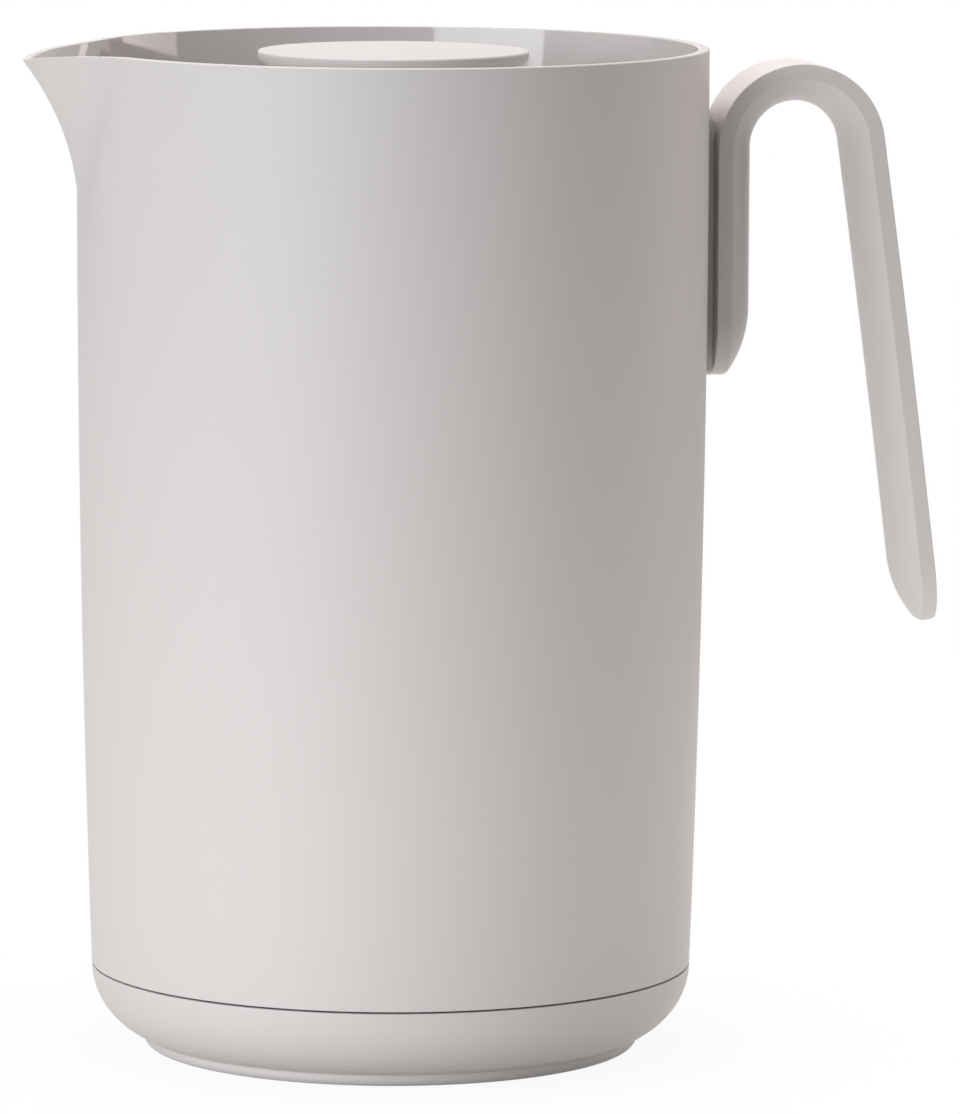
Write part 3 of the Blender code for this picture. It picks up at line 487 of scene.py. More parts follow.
def outerShell():
    wall, slack = shell["wall"], 1e-4
    columns = []
    for t in shellTurns():
        columns.append([fromLip(t, shellRadius(t, z) - inset, z) for inset, z in shellOutline(t)])
    rings = list(zip(*columns))
    holes = [barAlongX(screwBore, sideRadius(z) - 2 * wall, sideRadius(z) + wall, z) for z in screwHeights]
    piece = standFor("outer_shell", skin(rings), [shellFinish, insideFinish], holes, crease=50)
    for face in piece.data.polygons:     # faces that look at the axis are polished
        outward = face.normal.x * face.center.x + face.normal.y * face.center.y
        face.material_index = 1 if outward < -slack else 0


outerShell()
print("shell made, rim at", round(rimTop, 1))


# Rounded base with its low foot, and the dark ring that shows in the seam.
base = {
    "roundWidth": 17.3, "roundHeight": 15.7, "footRadius": 51.4, "footRound": 1.9, "footFillet": 1.0,
    "filletTurn": 9.0, "bowlEnd": -3.0, "edgeRound": 0.15, "wall": 2.5, "floor": 2.8, "hollowFrom": -15.0,
    "collarWall": 2.2, "collarRound": 0.5, "grooveWall": 1.7, "grooveRound": 0.1, "runGap": 0.4,
    "steps": 192}
seamRing = {"inside": 0.3, "outside": 1.4, "edge": 0.35}     # distances from the collar
collarRadius = sideRadius(shellBottom) - shell["wall"] - base["runGap"]


def baseCap():
    top = sideRadius(seamTop)
    width, height, small = base["roundWidth"], base["roundHeight"], base["grooveRound"]
    hub = top - width
    footTurn = degrees(acos((base["footRadius"] - hub) / width))
    bowl = arc(hub, seamTop, width, height, base["filletTurn"] - footTurn, base["bowlEnd"], steps=40)
    footTop = seamTop - height * sin(radians(footTurn))
    collarTop = high("base_cap")
    sealFloor = low("base_seal") - fitGap
    collarIn = collarRadius - base["collarWall"]
    groove = collarRadius + base["grooveWall"]
    depth = seamTop - base["floor"]
    hollow = arc(hub, seamTop, width - base["wall"], depth, base["hollowFrom"], -90.0, steps=20)
    heel, soft = base["footRound"], base["collarRound"]
    corners = [(0.0, 0.0, 0.0)] + arc(base["footRadius"] - heel, heel, heel, heel, -90.0, 0.0, steps=12)
    corners += [(base["footRadius"], footTop, base["footFillet"])] + bowl
    corners += [(r, seamTop, base["edgeRound"]) for r in (top, groove)]
    corners += [(r, sealFloor, small) for r in (groove, collarRadius)]
    corners += [(collarRadius, collarTop, soft), (collarIn, collarTop, soft), (collarIn, seamTop, soft)]
    corners += [p for p in hollow if p[0] < collarIn - soft]
    corners += [(0.0, base["floor"], 0.0)]
    standFor("base_cap", lathe(corners, base["steps"]), [shellFinish])


def ringBetween(node, inner, outer, edge, finish, steps=128):
    # ring of a CAD ring's height with rounded edges
    bottom, top = span(node)
    corners = [(inner, bottom, edge), (outer, bottom, edge), (outer, top, edge), (inner, top, edge)]
    standFor(node, lathe(corners, steps), [finish])


baseCap()
ringBetween("base_seal", collarRadius + seamRing["inside"], collarRadius + seamRing["outside"],
            seamRing["edge"], darkRubber, base["steps"])
print("base and seam ring made")


# Flask of two glass vessels, with the pads, cushion and ring that hold it.
flask = {
    "clearance": 1.5, "wall": 1.5, "vacuum": 3.6, "domeHeight": 18.0, "shoulder": 24.0, "neck": 9.0,
    "lip": 1.6, "mouth": 31.5, "neckVacuum": 2.4, "tipRadius": 2.6, "tipLength": 3.6, "tipBlend": 1.0,
    "sealRadius": 36.4, "sealEdge": 0.4, "steps": 120}
cushion = {"radius": 34.0, "hole": 6.0, "edge": 0.9, "steps": 96}
spacer = {"count": 3, "radius": 4.0, "edge": 0.5, "steps": 32}
flaskRadius = collarRadius - base["collarWall"] - flask["clearance"]
flaskTop = high("flask_inner")
lipRadius = flask["mouth"] + 2 * flask["wall"] + flask["neckVacuum"]
flaskBottom = low("flask_outer") + flask["tipLength"]
domeTop = flaskBottom + flask["domeHeight"]


def vessel(radius, bottom, mouth, top):
    # one skin from the floor's middle up to the mouth
    steps = 24
    line = arc(0.0, domeTop, radius, domeTop - bottom, -90.0, 0.0, steps)
    line[0] = (0.0, bottom, 0.0)
    neckLow = flaskTop - flask["neck"]
    for i in range(steps + 1):
        fall = 0.5 + 0.5 * cos(pi * i / steps)
        line.append((mouth + (radius - mouth) * fall, neckLow - flask["shoulder"] * (1 - i / steps), 0.0))
    return line + [(mouth, top, 0.4)]


def flaskVessels():
    wall = flask["wall"]
    radius = flaskRadius - wall - flask["vacuum"]
    bottom = flaskBottom + wall + flask["vacuum"]
    under = flaskTop - flask["lip"]
    corners = vessel(radius, bottom, flask["mouth"] + wall, under)
    corners += [(lipRadius, under, 0.4), (lipRadius, flaskTop, 0.7)]
    corners += vessel(radius - wall, bottom + wall, flask["mouth"], flaskTop)[::-1]
    standFor("flask_inner", lathe(corners, flask["steps"]), [flaskFinish])
    top = high("flask_outer")
    tip = flaskBottom - flask["tipLength"]
    corners = [(0.0, tip, 0.0), (flask["tipRadius"] / 2, tip + flask["tipLength"] / 4, 0.4)]
    corners += [(flask["tipRadius"], flaskBottom + wall / 4, 0.8)]
    tipEdge = flask["tipRadius"] + flask["tipBlend"]
    corners += [p for p in vessel(flaskRadius, flaskBottom, lipRadius, top) if p[0] > tipEdge]
    corners += vessel(flaskRadius - wall, flaskBottom + wall, lipRadius - wall, top)[::-1]
    standFor("flask_outer", lathe(corners, flask["steps"]), [flaskFinish])


def flaskCushion():
    bottom, steps = low("flask_cushion"), 16
    hole, rim = cushion["hole"], cushion["radius"]
    radii = [rim + (hole - rim) * i / steps for i in range(steps + 1)]
    corners = [(hole, bottom, cushion["edge"]), (rim, bottom, cushion["edge"])]
    for r in radii:
        share = sqrt(1 - (r / flaskRadius) ** 2)
        edge = cushion["edge"] if r in (radii[0], radii[-1]) else 0.0
        corners.append((r, domeTop - flask["domeHeight"] * share - fitGap, edge))
    standFor("flask_cushion", lathe(corners, cushion["steps"]), [darkRubber])


def flaskSpacer(node, turned):
    start = flaskRadius - flask["wall"] - flask["vacuum"] + fitGap
    thick, radius, edge = flask["vacuum"] - 3 * fitGap, spacer["radius"], spacer["edge"]
    corners = [(0.0, 0.0, 0.0), (radius, 0.0, edge), (radius, thick, edge), (0.0, thick, 0.0)]
    points, faces = lathe(corners, spacer["steps"])
    lay = Matrix.Rotation(turned, 4, "Z") @ Matrix.Translation((start, 0, middle(node)))
    lay = lay @ Matrix.Rotation(pi / 2, 4, "Y")
    standFor(node, ([lay @ Vector(p) for p in points], faces), [padFelt])


flaskVessels()
flaskCushion()
for index in range(spacer["count"]):
    flaskSpacer(f"flask_spacer_{index + 1}", tau * (index + 0.5) / spacer["count"])
ringBetween("flask_seal", flask["mouth"], flask["sealRadius"], flask["sealEdge"], clearSilicone)
print("flask made, mouth at", round(flaskTop, 1))


# Pour collar: deck inside the rim, throat for the lid and skirt along the shell.
collar = {
    "throat": 30.2, "throatWall": 2.2, "footWidth": 6.2, "footThickness": 2.0, "seatWidth": 6.4,
    "deckRise": 2.5, "deckThickness": 2.2, "skirtWall": 2.4, "sealDepth": 1.2, "sealGap": 0.3,
    "sealEdge": 0.45, "leadIn": 0.8}
seatTop = high("pour_collar") - collar["deckRise"]


def pourCollar():
    gap = shell["wall"] + fitGap
    bottom, top = span("pour_collar")
    flareStart = rimTop - lip["depth"]
    sealLow, sealHigh = low("collar_seal") - collar["sealGap"], high("collar_seal") + collar["sealGap"]
    edge = sideRadius(top) - gap
    skirtIn = edge - collar["skirtWall"]
    grooveIn = edge - collar["sealDepth"] - collar["sealGap"]
    throat = collar["throat"]
    seatEdge = throat + collar["seatWidth"]
    throatOut = throat + collar["throatWall"]
    footOut = throat + collar["footWidth"]
    under = seatTop - collar["deckThickness"]
    throatBottom = high("flask_seal") + fitGap
    footTop = throatBottom + collar["footThickness"]
    deckLow, parts, deckParts = top - collar["deckThickness"], 12, 10
    corners = [(edge, top, 0.3)]
    corners += [(edge, flareStart + (top - flareStart) * i / parts, 0.0) for i in reversed(range(parts))]
    corners += [
        (edge, sealHigh, 0.1), (grooveIn, sealHigh, 0.1), (grooveIn, sealLow, 0.1), (edge, sealLow, 0.1),
        (edge, bottom, 0.4), (skirtIn, bottom, 0.4)]
    corners += [(skirtIn, bottom + (deckLow - bottom) * i / parts, 0.0) for i in range(1, parts)]
    corners += [
        (skirtIn, deckLow, 1.0), (seatEdge, under, 1.2), (throatOut, under, 0.8), (throatOut, footTop, 0.6),
        (footOut, footTop, 0.4), (footOut, throatBottom, 0.4), (throat, throatBottom, 0.5),
        (throat, seatTop, collar["leadIn"]), (seatEdge, seatTop, 1.5)]
    for i in range(1, deckParts):
        share = i / deckParts
        corners.append((seatEdge + (edge - seatEdge) * share, seatTop + collar["deckRise"] * share, 0.0))
    rings, turns = [], shellTurns()
    for r, z in rounded(corners):     # the outer part follows the shell into the lip
        share = min(1.0, max(0.0, (r - seatEdge) / (skirtIn - seatEdge)))
        rings.append([fromLip(t, r + share * (shellRadius(t, z) - sideRadius(z)), z) for t in turns])
    standFor("pour_collar", skin(rings), [insideFinish])


pourCollar()
sealOut = sideRadius(rimTop - lip["depth"]) - shell["wall"] - fitGap
sealIn = sealOut - collar["sealDepth"]
ringBetween("collar_seal", sealIn, sealOut, collar["sealEdge"], clearSilicone, base["steps"])
print("collar made, seat at", round(seatTop, 1))


# Lid: plug with pouring windows, two lipped gasket, cover with the spring's well.
plug = {
    "radius": 27.0, "wall": 2.4, "groove": 0.8, "flangeWidth": 8.6, "flangeThickness": 2.5, "sill": 0.4,
    "windowHeight": 4.6, "windowWidth": 24.0, "windowRound": 1.2, "port": 19.0, "seatThickness": 2.0}
cover = {
    "spigotWall": 1.6, "spigotDepth": 1.0, "thickness": 2.0, "well": 9.0, "wellWall": 1.5, "wellFloor": 1.6,
    "stemHole": 2.9}


def windowBar(turned, bottom, top):
    # bar with rounded edges that opens two facing windows
    sides = rectangle(plug["windowWidth"] / 2, (top - bottom) / 2)
    outline = rounded([(y, z, plug["windowRound"]) for y, z in sides], 6)
    reach = plug["radius"] + plug["flangeWidth"]
    spin = Matrix.Rotation(turned, 4, "Z")
    rings = [[spin @ Vector((x, y, (bottom + top) / 2 + z)) for y, z in outline] for x in (-reach, reach)]
    return skin(rings, joined=False)


def stopperBody():
    bottom, top = span("stopper_body")
    radius, bore = plug["radius"], plug["radius"] - plug["wall"]
    flange = radius + plug["flangeWidth"]
    flangeLow = seatTop + fitGap
    flangeTop = flangeLow + plug["flangeThickness"]
    grooveLow = low("stopper_gasket") - fitGap
    grooveHigh = high("stopper_gasket") + fitGap
    groove = radius - plug["groove"]
    inside = bottom + plug["seatThickness"]
    corners = [
        (plug["port"], bottom, 0.4), (radius, bottom, 0.7), (radius, grooveLow, 0.2),
        (groove, grooveLow, 0.1), (groove, grooveHigh, 0.1), (radius, grooveHigh, 0.2),
        (radius, flangeLow, 0.5), (flange, flangeLow, 0.5), (flange, flangeTop, 0.8),
        (radius, flangeTop, 0.3), (radius, top, 0.3), (bore, top, 0.2), (bore, inside, 0.8),
        (plug["port"], inside, 0.4)]
    sill = flangeTop + plug["sill"]
    windows = [windowBar(turned, sill, sill + plug["windowHeight"]) for turned in (0.0, pi / 2)]
    standFor("stopper_body", lathe(corners), [lidFinish], windows)


def stopperGasket():
    bottom, top = span("stopper_gasket")
    inner = plug["radius"] - plug["groove"] + fitGap
    root = plug["radius"] + fitGap
    outer = collar["throat"] - fitGap
    mid, half = middle("stopper_gasket"), (top - bottom) / 2
    corners = [
        (inner, bottom, 0.3), (root, bottom, 0.5), (outer, mid - half / 3, 0.25), (root, mid, 0.3),
        (outer, mid + half * 2 / 3, 0.25), (root, top, 0.5), (inner, top, 0.3)]
    standFor("stopper_gasket", lathe(corners), [clearSilicone])


def stopperCover():
    bottom, top = span("stopper_cover")
    under = top - cover["thickness"]
    spigot = plug["radius"] - plug["wall"] - fitGap
    spigotIn = spigot - cover["spigotWall"]
    spigotLow = under - cover["spigotDepth"]
    well, hole, floor = cover["well"], cover["stemHole"], bottom + cover["wellFloor"]
    wellOut = well + cover["wellWall"]
    corners = [
        (well, top, 0.6), (well, floor, 0.5), (hole, floor, 0.3), (hole, bottom, 0.3),
        (wellOut, bottom, 0.8), (wellOut, under, 0.6), (spigotIn, under, 0.3), (spigotIn, spigotLow, 0.3),
        (spigot, spigotLow, 0.3), (spigot, under, 0.2), (plug["radius"], under, 0.4),
        (plug["radius"], top, 0.7)]
    standFor("stopper_cover", lathe(corners), [lidFinish])


stopperBody()
stopperGasket()
stopperCover()
print("lid made")


# Push button and the valve works that travel with it.
button = {
    "radius": 27.9, "thickness": 3.3, "dome": 0.5, "edge": 0.5, "underRound": 2.0,
    "skirt": 8.6, "skirtWall": 1.4, "boss": 4.3, "bore": 2.8, "bossLength": 8.0, "grip": 7.5, "steps": 160}
valve = {
    "stem": 2.5, "stemChamfer": 0.4, "radius": 23.5, "sealWidth": 4.6, "sealEdge": 0.35,
    "threadPitch": 0.8, "threadDepth": 0.3}
nut = {
    "corner": 4.6, "chamfer": 0.45, "chamferSteps": 6, "faceShare": 0.985, "slope": 1.6, "mouth": 0.35,
    "steps": 96}
threadSteps = 8     # rings for each turn of a thread


def buttonCap():
    skirtLow, top = span("button_cap")
    under = top - button["thickness"]
    edge, flat, steps = button["edge"], button["radius"] - button["edge"], 24
    skirt, boss, bore = button["skirt"], button["boss"], button["bore"]
    skirtIn = skirt - button["skirtWall"]
    bossLow = under - button["bossLength"]
    boreTop = bossLow + button["grip"]
    crown = [(flat * i / steps, top - button["dome"] * (i / steps) ** 2, 0.0) for i in range(steps)]
    corners = crown + arc(flat, top - button["dome"] - edge, edge, edge, 88.0, 0.0, steps=12)
    bulge = button["underRound"]
    corners += arc(button["radius"] - bulge, under + bulge, bulge, bulge, 0.0, -90.0, steps=14)
    corners += [
        (skirt, under, 0.6), (skirt, skirtLow, 0.4), (skirtIn, skirtLow, 0.4), (skirtIn, under, 0.6),
        (boss, under, 0.5), (boss, bossLow, 0.3), (bore, bossLow, 0.3), (bore, boreTop, 0.2),
        (0.0, boreTop, 0.0)]
    standFor("button_cap", lathe(corners, button["steps"]), [buttonFinish])


def threaded(profile, start, end, pitch, depth, around=32):
    # rod along +Z with a helical thread cut between two heights; profile is (radius, height)
    rings = []
    for r, z in profile:
        ring = []
        for i, a in enumerate(circle(around)):
            phase = (z / pitch - i / around) % 1.0
            cut = depth * (1 - abs(2 * phase - 1)) if start < z < end else 0.0
            ring.append(((r - cut) * cos(a), (r - cut) * sin(a), z))
        rings.append(ring)
    return skin(rings, joined=False)


def valveWorks():
    bottom, top = span("valve_stem")
    radius, pitch, chamfer = valve["stem"], valve["threadPitch"], valve["stemChamfer"]
    start, end = bottom + chamfer, high("stem_nut")
    count = int((end - start) / pitch * threadSteps)
    line = [(0.0, bottom), (radius - chamfer, bottom), (radius, start)]
    line += [(radius, start + pitch / threadSteps * i) for i in range(1, count)]
    line += [(radius, top - chamfer), (radius - chamfer, top), (0.0, top)]
    standFor("valve_stem", threaded(line, start, end, pitch, valve["threadDepth"]), [steelFinish])
    inner = valve["radius"] - valve["sealWidth"]
    ringBetween("valve_seal", inner, valve["radius"], valve["sealEdge"], clearSilicone)
    under, plateTop = span("valve_plate")
    bore, hub, ledge = button["bore"], inner - fitGap, low("valve_seal") - fitGap
    corners = [
        (bore, under, 0.3), (inner, under, 1.5), (valve["radius"], ledge, 0.3), (hub, ledge, 0.1),
        (hub, plateTop, 0.2), (bore, plateTop, 0.2)]
    standFor("valve_plate", lathe(corners), [lidFinish])


def stemNut():
    # hexagon nut whose corners are turned off at both faces
    bottom, top = span("stem_nut")
    flats = nut["corner"] * cos(pi / 6)
    face, slope, bore, mouth = flats * nut["faceShare"], nut["slope"], button["bore"], nut["mouth"]

    def ring(z, limit):
        points = []
        for a in circle(nut["steps"]):
            r = min(flats / cos((a % (pi / 3)) - pi / 6), limit)
            points.append((r * cos(a), r * sin(a), z))
        return points

    ramp = [nut["chamfer"] * i / nut["chamferSteps"] for i in range(nut["chamferSteps"] + 1)]
    rings = [ring(bottom + rise, face + rise * slope) for rise in ramp]
    rings += [ring(top - rise, face + rise * slope) for rise in reversed(ramp)]
    rings += [ring(top, bore + mouth), ring(top - mouth, bore)]
    rings += [ring(bottom + mouth, bore), ring(bottom, bore + mouth)]
    standFor("stem_nut", skin(rings), [steelFinish])


buttonCap()
valveWorks()
stemNut()
print("button and valve made")


# Return spring with closed ends.
spring = {
    "wire": 1.0, "radius": 6.0, "turns": 6, "endTurns": 0.8, "endPitch": 1.04, "sides": 14, "steps": 40}


def returnSpring():
    wire, turns, ends = spring["wire"] / 2, spring["turns"], spring["endTurns"]
    start, end = span("return_spring")
    bottom, top = start + wire, end - wire
    closedRise = spring["wire"] * spring["endPitch"] * ends
    steps = turns * spring["steps"]
    rings = []
    for i in range(steps + 1):
        turn = turns * i / steps
        if turn < ends:
            z = bottom + closedRise * turn / ends
        elif turn > turns - ends:
            z = top - closedRise * (turns - turn) / ends
        else:
            z = bottom + closedRise + (top - bottom - 2 * closedRise) * (turn - ends) / (turns - 2 * ends)
        out = Vector((cos(tau * turn), sin(tau * turn), 0.0))
        hub = out * spring["radius"] + Vector((0, 0, z))
        sides = circle(spring["sides"])
        rings.append([hub + wire * (out * cos(a) + Vector((0, 0, sin(a)))) for a in sides])
    piece = standFor("return_spring", skin(rings, joined=False), [springFinish])
    travel = next(j for j in frame["joints"] if j["name"] == "button_press")["range_m"][1] / mm
    length = end - start
    (length - travel) / length
    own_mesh(piece)


returnSpring()
print("spring made")


# Handle: one arched band with a flat back and a bulged grip side, on its strip and two screws.
handle = {
    "gap": 1.6, "width": 17.7, "side": 3.2, "crown": 4.9, "archRadius": 17.6, "topDrop": 3.6,
    "gripLength": 102.9, "lean": radians(8.0), "leanEase": radians(-1.3),
    "tongue": 12.0, "crownFade": 14.5, "edge": 0.32, "crease": 0.5, "tipRound": 1.2, "pastStrip": 1.6}
strip = {
    "width": 9.5, "topRound": 3.0, "bottomRound": 1.5, "edge": 0.15, "backEdge": 0.1, "slit": 0.04,
    "headWidth": 12.6, "headHeight": 3.4, "headEase": 2.4}     # wider end below the arch
screw = {
    "shank": 1.9, "head": 3.9, "headHeight": 2.2, "headRound": 1.4, "pitch": 1.2, "threadDepth": 0.45,
    "threadFrom": 0.3, "ringsFrom": 0.4, "slot": 1.0, "slotReach": 0.55, "steps": 40,
    "slotEnds": ((1.15, -0.5), (0.75, 1.3))}     # share of the slot's size, and depth from the head's top
legBack = shell["rimRadius"] + handle["gap"]
archHeight = rimTop - handle["topDrop"] - handle["archRadius"]
legEnd = low("handle_strip") - handle["pastStrip"]


def tongue(distance, length):
    # share of the full width near a rounded end
    return sqrt(max(0.0, 1 - max(0.0, 1 - distance / length) ** 2))


def crownAt(distance):
    rise, fade = handle["crown"], handle["crownFade"]
    bend = (fade ** 2 + rise ** 2) / (2 * rise)
    back = max(0.0, fade - distance)
    return rise - bend + sqrt(bend * bend - back * back)


def bandSection(half, bulge, inset):
    # flat face with small edges, straight sides and a bulge on an arc of its own
    side, steps = handle["side"] - inset, 10
    shares = [i / steps for i in range(1 - steps, steps)]
    corners = [(-half, inset, handle["edge"]), (-half, side, handle["crease"])]
    if min(half, bulge) > tiny:
        bend = (half * half + bulge * bulge) / (2 * bulge)
        turn = atan2(half, bend - bulge)
        angles = [turn * share for share in shares]
        corners += [(bend * sin(a), side + bend * cos(a) - bend + bulge, 0.0) for a in angles]
    else:
        corners += [(half * share, side, 0.0) for share in shares]
    corners += [(half, side, handle["crease"]), (half, inset, handle["edge"])]
    return rounded(corners, 6)


def bandStations():
    # places along the flat face with the direction to the fingers and the distance from the nearest end
    endSteps, legSteps, archSteps, gripSteps = 28, 12, 64, 32
    endLength = max(handle["tongue"], handle["crownFade"])
    ends = [endLength * share for share in slowStart(endSteps)]
    straight = archHeight - legEnd - endLength
    ups = ends + [endLength + straight * i / legSteps for i in range(1, legSteps)]
    stations = [(Vector((legBack, 0, legEnd + up)), Vector((1, 0, 0)), up) for up in ups]
    hub = Vector((legBack + handle["archRadius"], 0, archHeight))
    for i in range(archSteps + 1):
        turned = pi - (pi - handle["lean"]) * i / archSteps
        out = Vector((cos(turned), 0, sin(turned)))
        stations.append((hub + out * handle["archRadius"], -out, endLength))
    start, length = stations[-1][0], handle["gripLength"]
    rate = handle["leanEase"] / length
    runs = [(length - endLength) * i / gripSteps for i in range(1, gripSteps)]
    runs += [length - e for e in reversed(ends)]
    for run in runs:
        lean = handle["lean"] + rate * run
        x = start.x + (cos(handle["lean"]) - cos(lean)) / rate
        z = start.z - (sin(lean) - sin(handle["lean"])) / rate
        stations.append((Vector((x, 0, z)), Vector((-cos(lean), 0, -sin(lean))), length - run))
    return stations


def handleBand():
    rings = []
    for place, inward, distance in bandStations():
        half = handle["width"] / 2 * tongue(distance, handle["tongue"])
        inset = handle["tipRound"] * (1 - tongue(distance, handle["tipRound"]))
        section = bandSection(half, crownAt(distance), inset)
        rings.append([place + inward * depth + Vector((0, y, 0)) for y, depth in section])
    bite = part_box("handle_screw_1")[1].x / mm + fitGap
    holes = [barAlongX(screwBore, legBack - handle["gap"], bite, z) for z in screwHeights]
    standFor("handle", skin(rings, joined=False), [handleFinish], holes, crease=50)


def handleStrip():
    # narrower than the leg, with its lower end level with the leg's end
    bottom, top = legEnd, high("handle_strip")
    topRound, bottomRound = strip["topRound"], strip["bottomRound"]
    endSteps, steps, backSteps = 16, 60, 8
    quarter = slowStart(endSteps)
    straight = top - topRound - bottom - bottomRound
    heights = [bottom + bottomRound * q for q in quarter]
    heights += [bottom + bottomRound + straight * i / steps for i in range(1, steps)]
    heights += [top - topRound * q for q in reversed(quarter)]
    front, gap = legBack - strip["slit"], handle["gap"]
    rings = []
    for z in heights:
        headShare = smooth(1 - (top - z - strip["headHeight"]) / strip["headEase"])
        width = strip["width"] + (strip["headWidth"] - strip["width"]) * headShare
        half = width / 2 * min(tongue(z - bottom, bottomRound), tongue(top - z, topRound))
        back = sideRadius(z) + fitGap
        across = [half * i / backSteps for i in range(1 - backSteps, backSteps)]
        side = sqrt(back * back - half * half)
        corners = [(side, -half, strip["backEdge"])]
        corners += [(sqrt(back * back - y * y), y, 0.0) for y in across]
        corners += [(side, half, strip["backEdge"])]
        corners += [(front, y, strip["edge"]) for y in (half, -half)]
        rings.append([(x, y, z) for x, y in rounded(corners)])
    holes = [barAlongX(screwBore, legBack - 3 * gap, legBack + gap, z) for z in screwHeights]
    standFor("handle_strip", skin(rings, joined=False), [handleFinish], holes)


def handleScrew(node):
    # pan head with a cross slot, and a coarse thread that ends in a point
    start, end = (corner.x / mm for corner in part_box(node))
    shank, bulge, pitch = screw["shank"], screw["headRound"], screw["pitch"]
    seat, point = start + screw["headHeight"], end - shank
    dome = arc(screw["head"] - bulge, start + bulge, bulge, bulge, -90, 0, steps=8)
    line = [(0.0, start)] + [corner[:2] for corner in dome] + [(screw["head"], seat), (shank, seat)]
    count = int((point - seat) / pitch * threadSteps) - 2
    line += [(shank, seat + screw["ringsFrom"] + pitch / threadSteps * i) for i in range(count)]
    line += [(shank, point), (0.0, end)]
    threadStart = seat + screw["threadFrom"]
    points, faces = threaded(line, threadStart, point, pitch, screw["threadDepth"], screw["steps"])
    lay = Matrix.Translation((0, 0, middle(node))) @ Matrix.Rotation(pi / 2, 4, "Y")
    sides = rectangle(screw["slot"] / 2, screw["head"] * screw["slotReach"])
    slots = []
    for turned in (0.0, pi / 2):
        spin = lay @ Matrix.Rotation(turned, 4, "Z")
        ends = [[spin @ Vector((x * share, y * share, start + depth)) for x, y in sides]
                for share, depth in screw["slotEnds"]]
        slots.append(skin(ends, joined=False))
    standFor(node, ([lay @ Vector(p) for p in points], faces), [steelFinish], slots)


handleBand()
handleStrip()
for index in (1, 2):
    handleScrew(f"handle_screw_{index}")
print("handle made")


# Camera at the photograph's angle; the jug stands turned by a few degrees in its view.
view = {
    "turn": radians(9.2), "distance": 1701.06, "height": 322.96, "yaw": radians(0.615),
    "pitch": radians(7.408), "roll": radians(0.2516), "focalPixels": 8280.6, "photoHeight": 1114,
    "sensor": 36.0}


def photoCamera():
    data = bpy.data.cameras.new("photoCamera")
    data.sensor_width = data.sensor_height = view["sensor"]
    data.lens = view["focalPixels"] * view["sensor"] / view["photoHeight"]
    data.clip_start, data.clip_end = 0.1, 50.0
    scene.camera = placed("photoCamera", data)
    stand = Matrix.Rotation(-view["turn"], 4, "Z")
    stand = stand @ Matrix.Translation(Vector((0, -view["distance"], view["height"])) * mm)
    for angle, axis in ((-view["yaw"], "Z"), (pi / 2 - view["pitch"], "X"), (view["roll"], "Z")):
        stand = stand @ Matrix.Rotation(angle, 4, axis)
    scene.camera.matrix_world = stand


# Studio: soft boxes around the jug, a white world and a pale floor that keeps the shadow and glows with a painted
# pool of light, dimmed by a painted shadow close to the foot.
boxes = {     # angle round from the camera, left is negative; sizes in mm
    "keyBox": {"angle": -38.5, "rise": 14, "away": 1500, "size": (1230, 900), "watts": 18.6,
               "colour": (0.942, 0.961, 1.0)},
    "topBox": {"angle": -130, "rise": 80, "away": 1300, "size": (600, 600), "watts": 14.2,
               "colour": (1.0, 0.93, 0.94)},
    "rightBox": {"angle": 110, "rise": 10, "away": 1500, "size": (900, 900), "watts": 8.1,
                 "colour": (1.0, 0.89, 0.85)},
    "backFill": {"angle": 178, "rise": 6, "away": 1500, "size": (1100, 900), "watts": 7.5,
                 "colour": (0.95, 0.975, 1.0), "inGloss": False}}
studio = {
    "aim": (0.0, 0.0, 105.0), "worldLight": 0.06,
    "floorRadius": 6000.0, "floorSteps": 64, "floorColour": (0.90, 0.89, 0.88),
    "shadowShare": 0.07, "shadowFrom": 55.0, "shadowTo": 130.0,
    # painted light: the floor glows though it is no lamp, a pool of light that fades out around the jug
    "glow": 0.286, "glowColour": (1.0, 0.985, 0.98), "glowFade": 360.0, "glowEnd": 440.0,
    "paintedShadowMiddle": (6.0, -1.0, 0.0), "paintedShadowReach": 43.0, "paintedShadowPower": 1.4}     # painted shadow: less of the painted glow close to the foot


def softBox(name, look):
    # angle, rise and distance count from the point that the box is aimed at
    data = bpy.data.lights.new(name, "AREA")
    data.shape = "RECTANGLE"
    data.size, data.size_y = (side * mm for side in look["size"])
    data.energy = look["watts"]
    data.color = look["colour"]
    lamp = placed(name, data)
    turned, rise = radians(look["angle"]) - view["turn"], radians(look["rise"])
    out = Vector((sin(turned) * cos(rise), -cos(turned) * cos(rise), sin(rise)))
    aim = Matrix.Rotation(-view["turn"], 3, "Z") @ Vector(studio["aim"])
    lamp.location = (aim + out * look["away"]) * mm
    lamp.rotation_mode = "QUATERNION"
    lamp.rotation_quaternion = (-out).to_track_quat("-Z", "Y")
    lamp.visible_camera = False
    lamp.visible_glossy = look.get("inGloss", True)


def seenDirectly(wire):
    # 1 for rays that show the background: to the camera, in gloss and through glass
    rays = [wire.node("ShaderNodeLightPath", out=name)
            for name in ("Is Camera Ray", "Is Glossy Ray", "Is Transmission Ray")]
    return wire.node("ShaderNodeClamp", None, {"Value": rays[0] + rays[1] + rays[2]})


def emptyTree(owner):
    owner.use_nodes = True
    owner.node_tree.nodes.clear()
    return Wire(owner.node_tree)


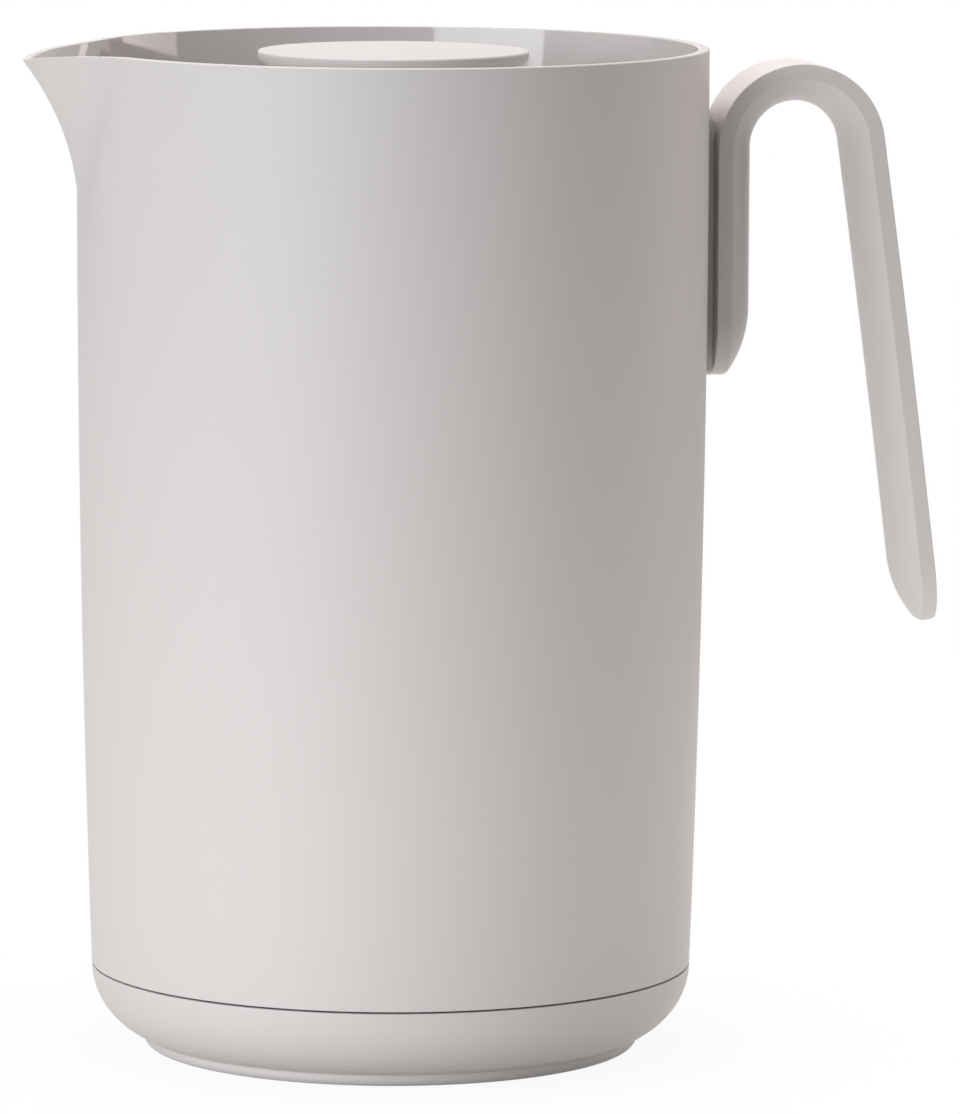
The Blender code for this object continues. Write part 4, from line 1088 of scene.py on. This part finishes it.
def whiteWorld():
    scene.world = bpy.data.worlds.new("whiteStudio")
    wire = emptyTree(scene.world)
    light, white = (wire.node("ShaderNodeBackground", None, {"Color": (1, 1, 1, 1), "Strength": strength})
                    for strength in (studio["worldLight"], 1.0))
    mixed = wire.node("ShaderNodeMixShader", None, {0: seenDirectly(wire), 1: light, 2: white})
    mixed.feed(wire.tree.nodes.new("ShaderNodeOutputWorld"), "Surface")


def paleFloor():
    material = bpy.data.materials.new("paleFloor")
    wire = emptyTree(material)
    place = wire.node("ShaderNodeTexCoord", out="Object")
    away = place.node("ShaderNodeVectorMath", {"operation": "LENGTH"}, {0: place}, "Value")
    dark = place.node("ShaderNodeVectorMath", {"operation": "DISTANCE"},
                      {0: place, 1: Vector(studio["paintedShadowMiddle"]) * mm}, "Value")
    # painted light and shadow: the floor's glow, dimmed close to the foot by a painted shadow and faded out
    # further away
    lit = 1 - (studio["paintedShadowReach"] * mm / dark) ** studio["paintedShadowPower"]
    lit = lit * (1 - away.between(studio["glowFade"] * mm, studio["glowEnd"] * mm))
    matt = wire.node("ShaderNodeBsdfPrincipled", None, {
        "Base Color": (*studio["floorColour"], 1), "Roughness": 1.0, "Specular IOR Level": 0.0,
        "Emission Color": lit.tint((0, 0, 0), studio["glowColour"]), "Emission Strength": studio["glow"]})
    white = wire.node("ShaderNodeEmission", None, {"Color": (1, 1, 1, 1), "Strength": 1.0})
    kept = studio["shadowShare"] * (1 - away.between(studio["shadowFrom"] * mm, studio["shadowTo"] * mm))
    blank = seenDirectly(wire) * (1 - kept)
    mixed = wire.node("ShaderNodeMixShader", None, {0: blank, 1: matt, 2: white})
    mixed.feed(wire.tree.nodes.new("ShaderNodeOutputMaterial"), "Surface")
    radius, angles = studio["floorRadius"], circle(studio["floorSteps"])
    rings = [[(r * cos(a), r * sin(a), 0.0) for a in angles] for r in (0.0, radius / 8, radius)]
    floor = rawObject("paleFloor", skin(rings, joined=False))
    floor.data.materials.append(material)


photoCamera()
for name, look in boxes.items():
    softBox(name, look)
whiteWorld()
paleFloor()
scene.view_settings.view_transform = "Standard"
print("camera, lamps and floor set")
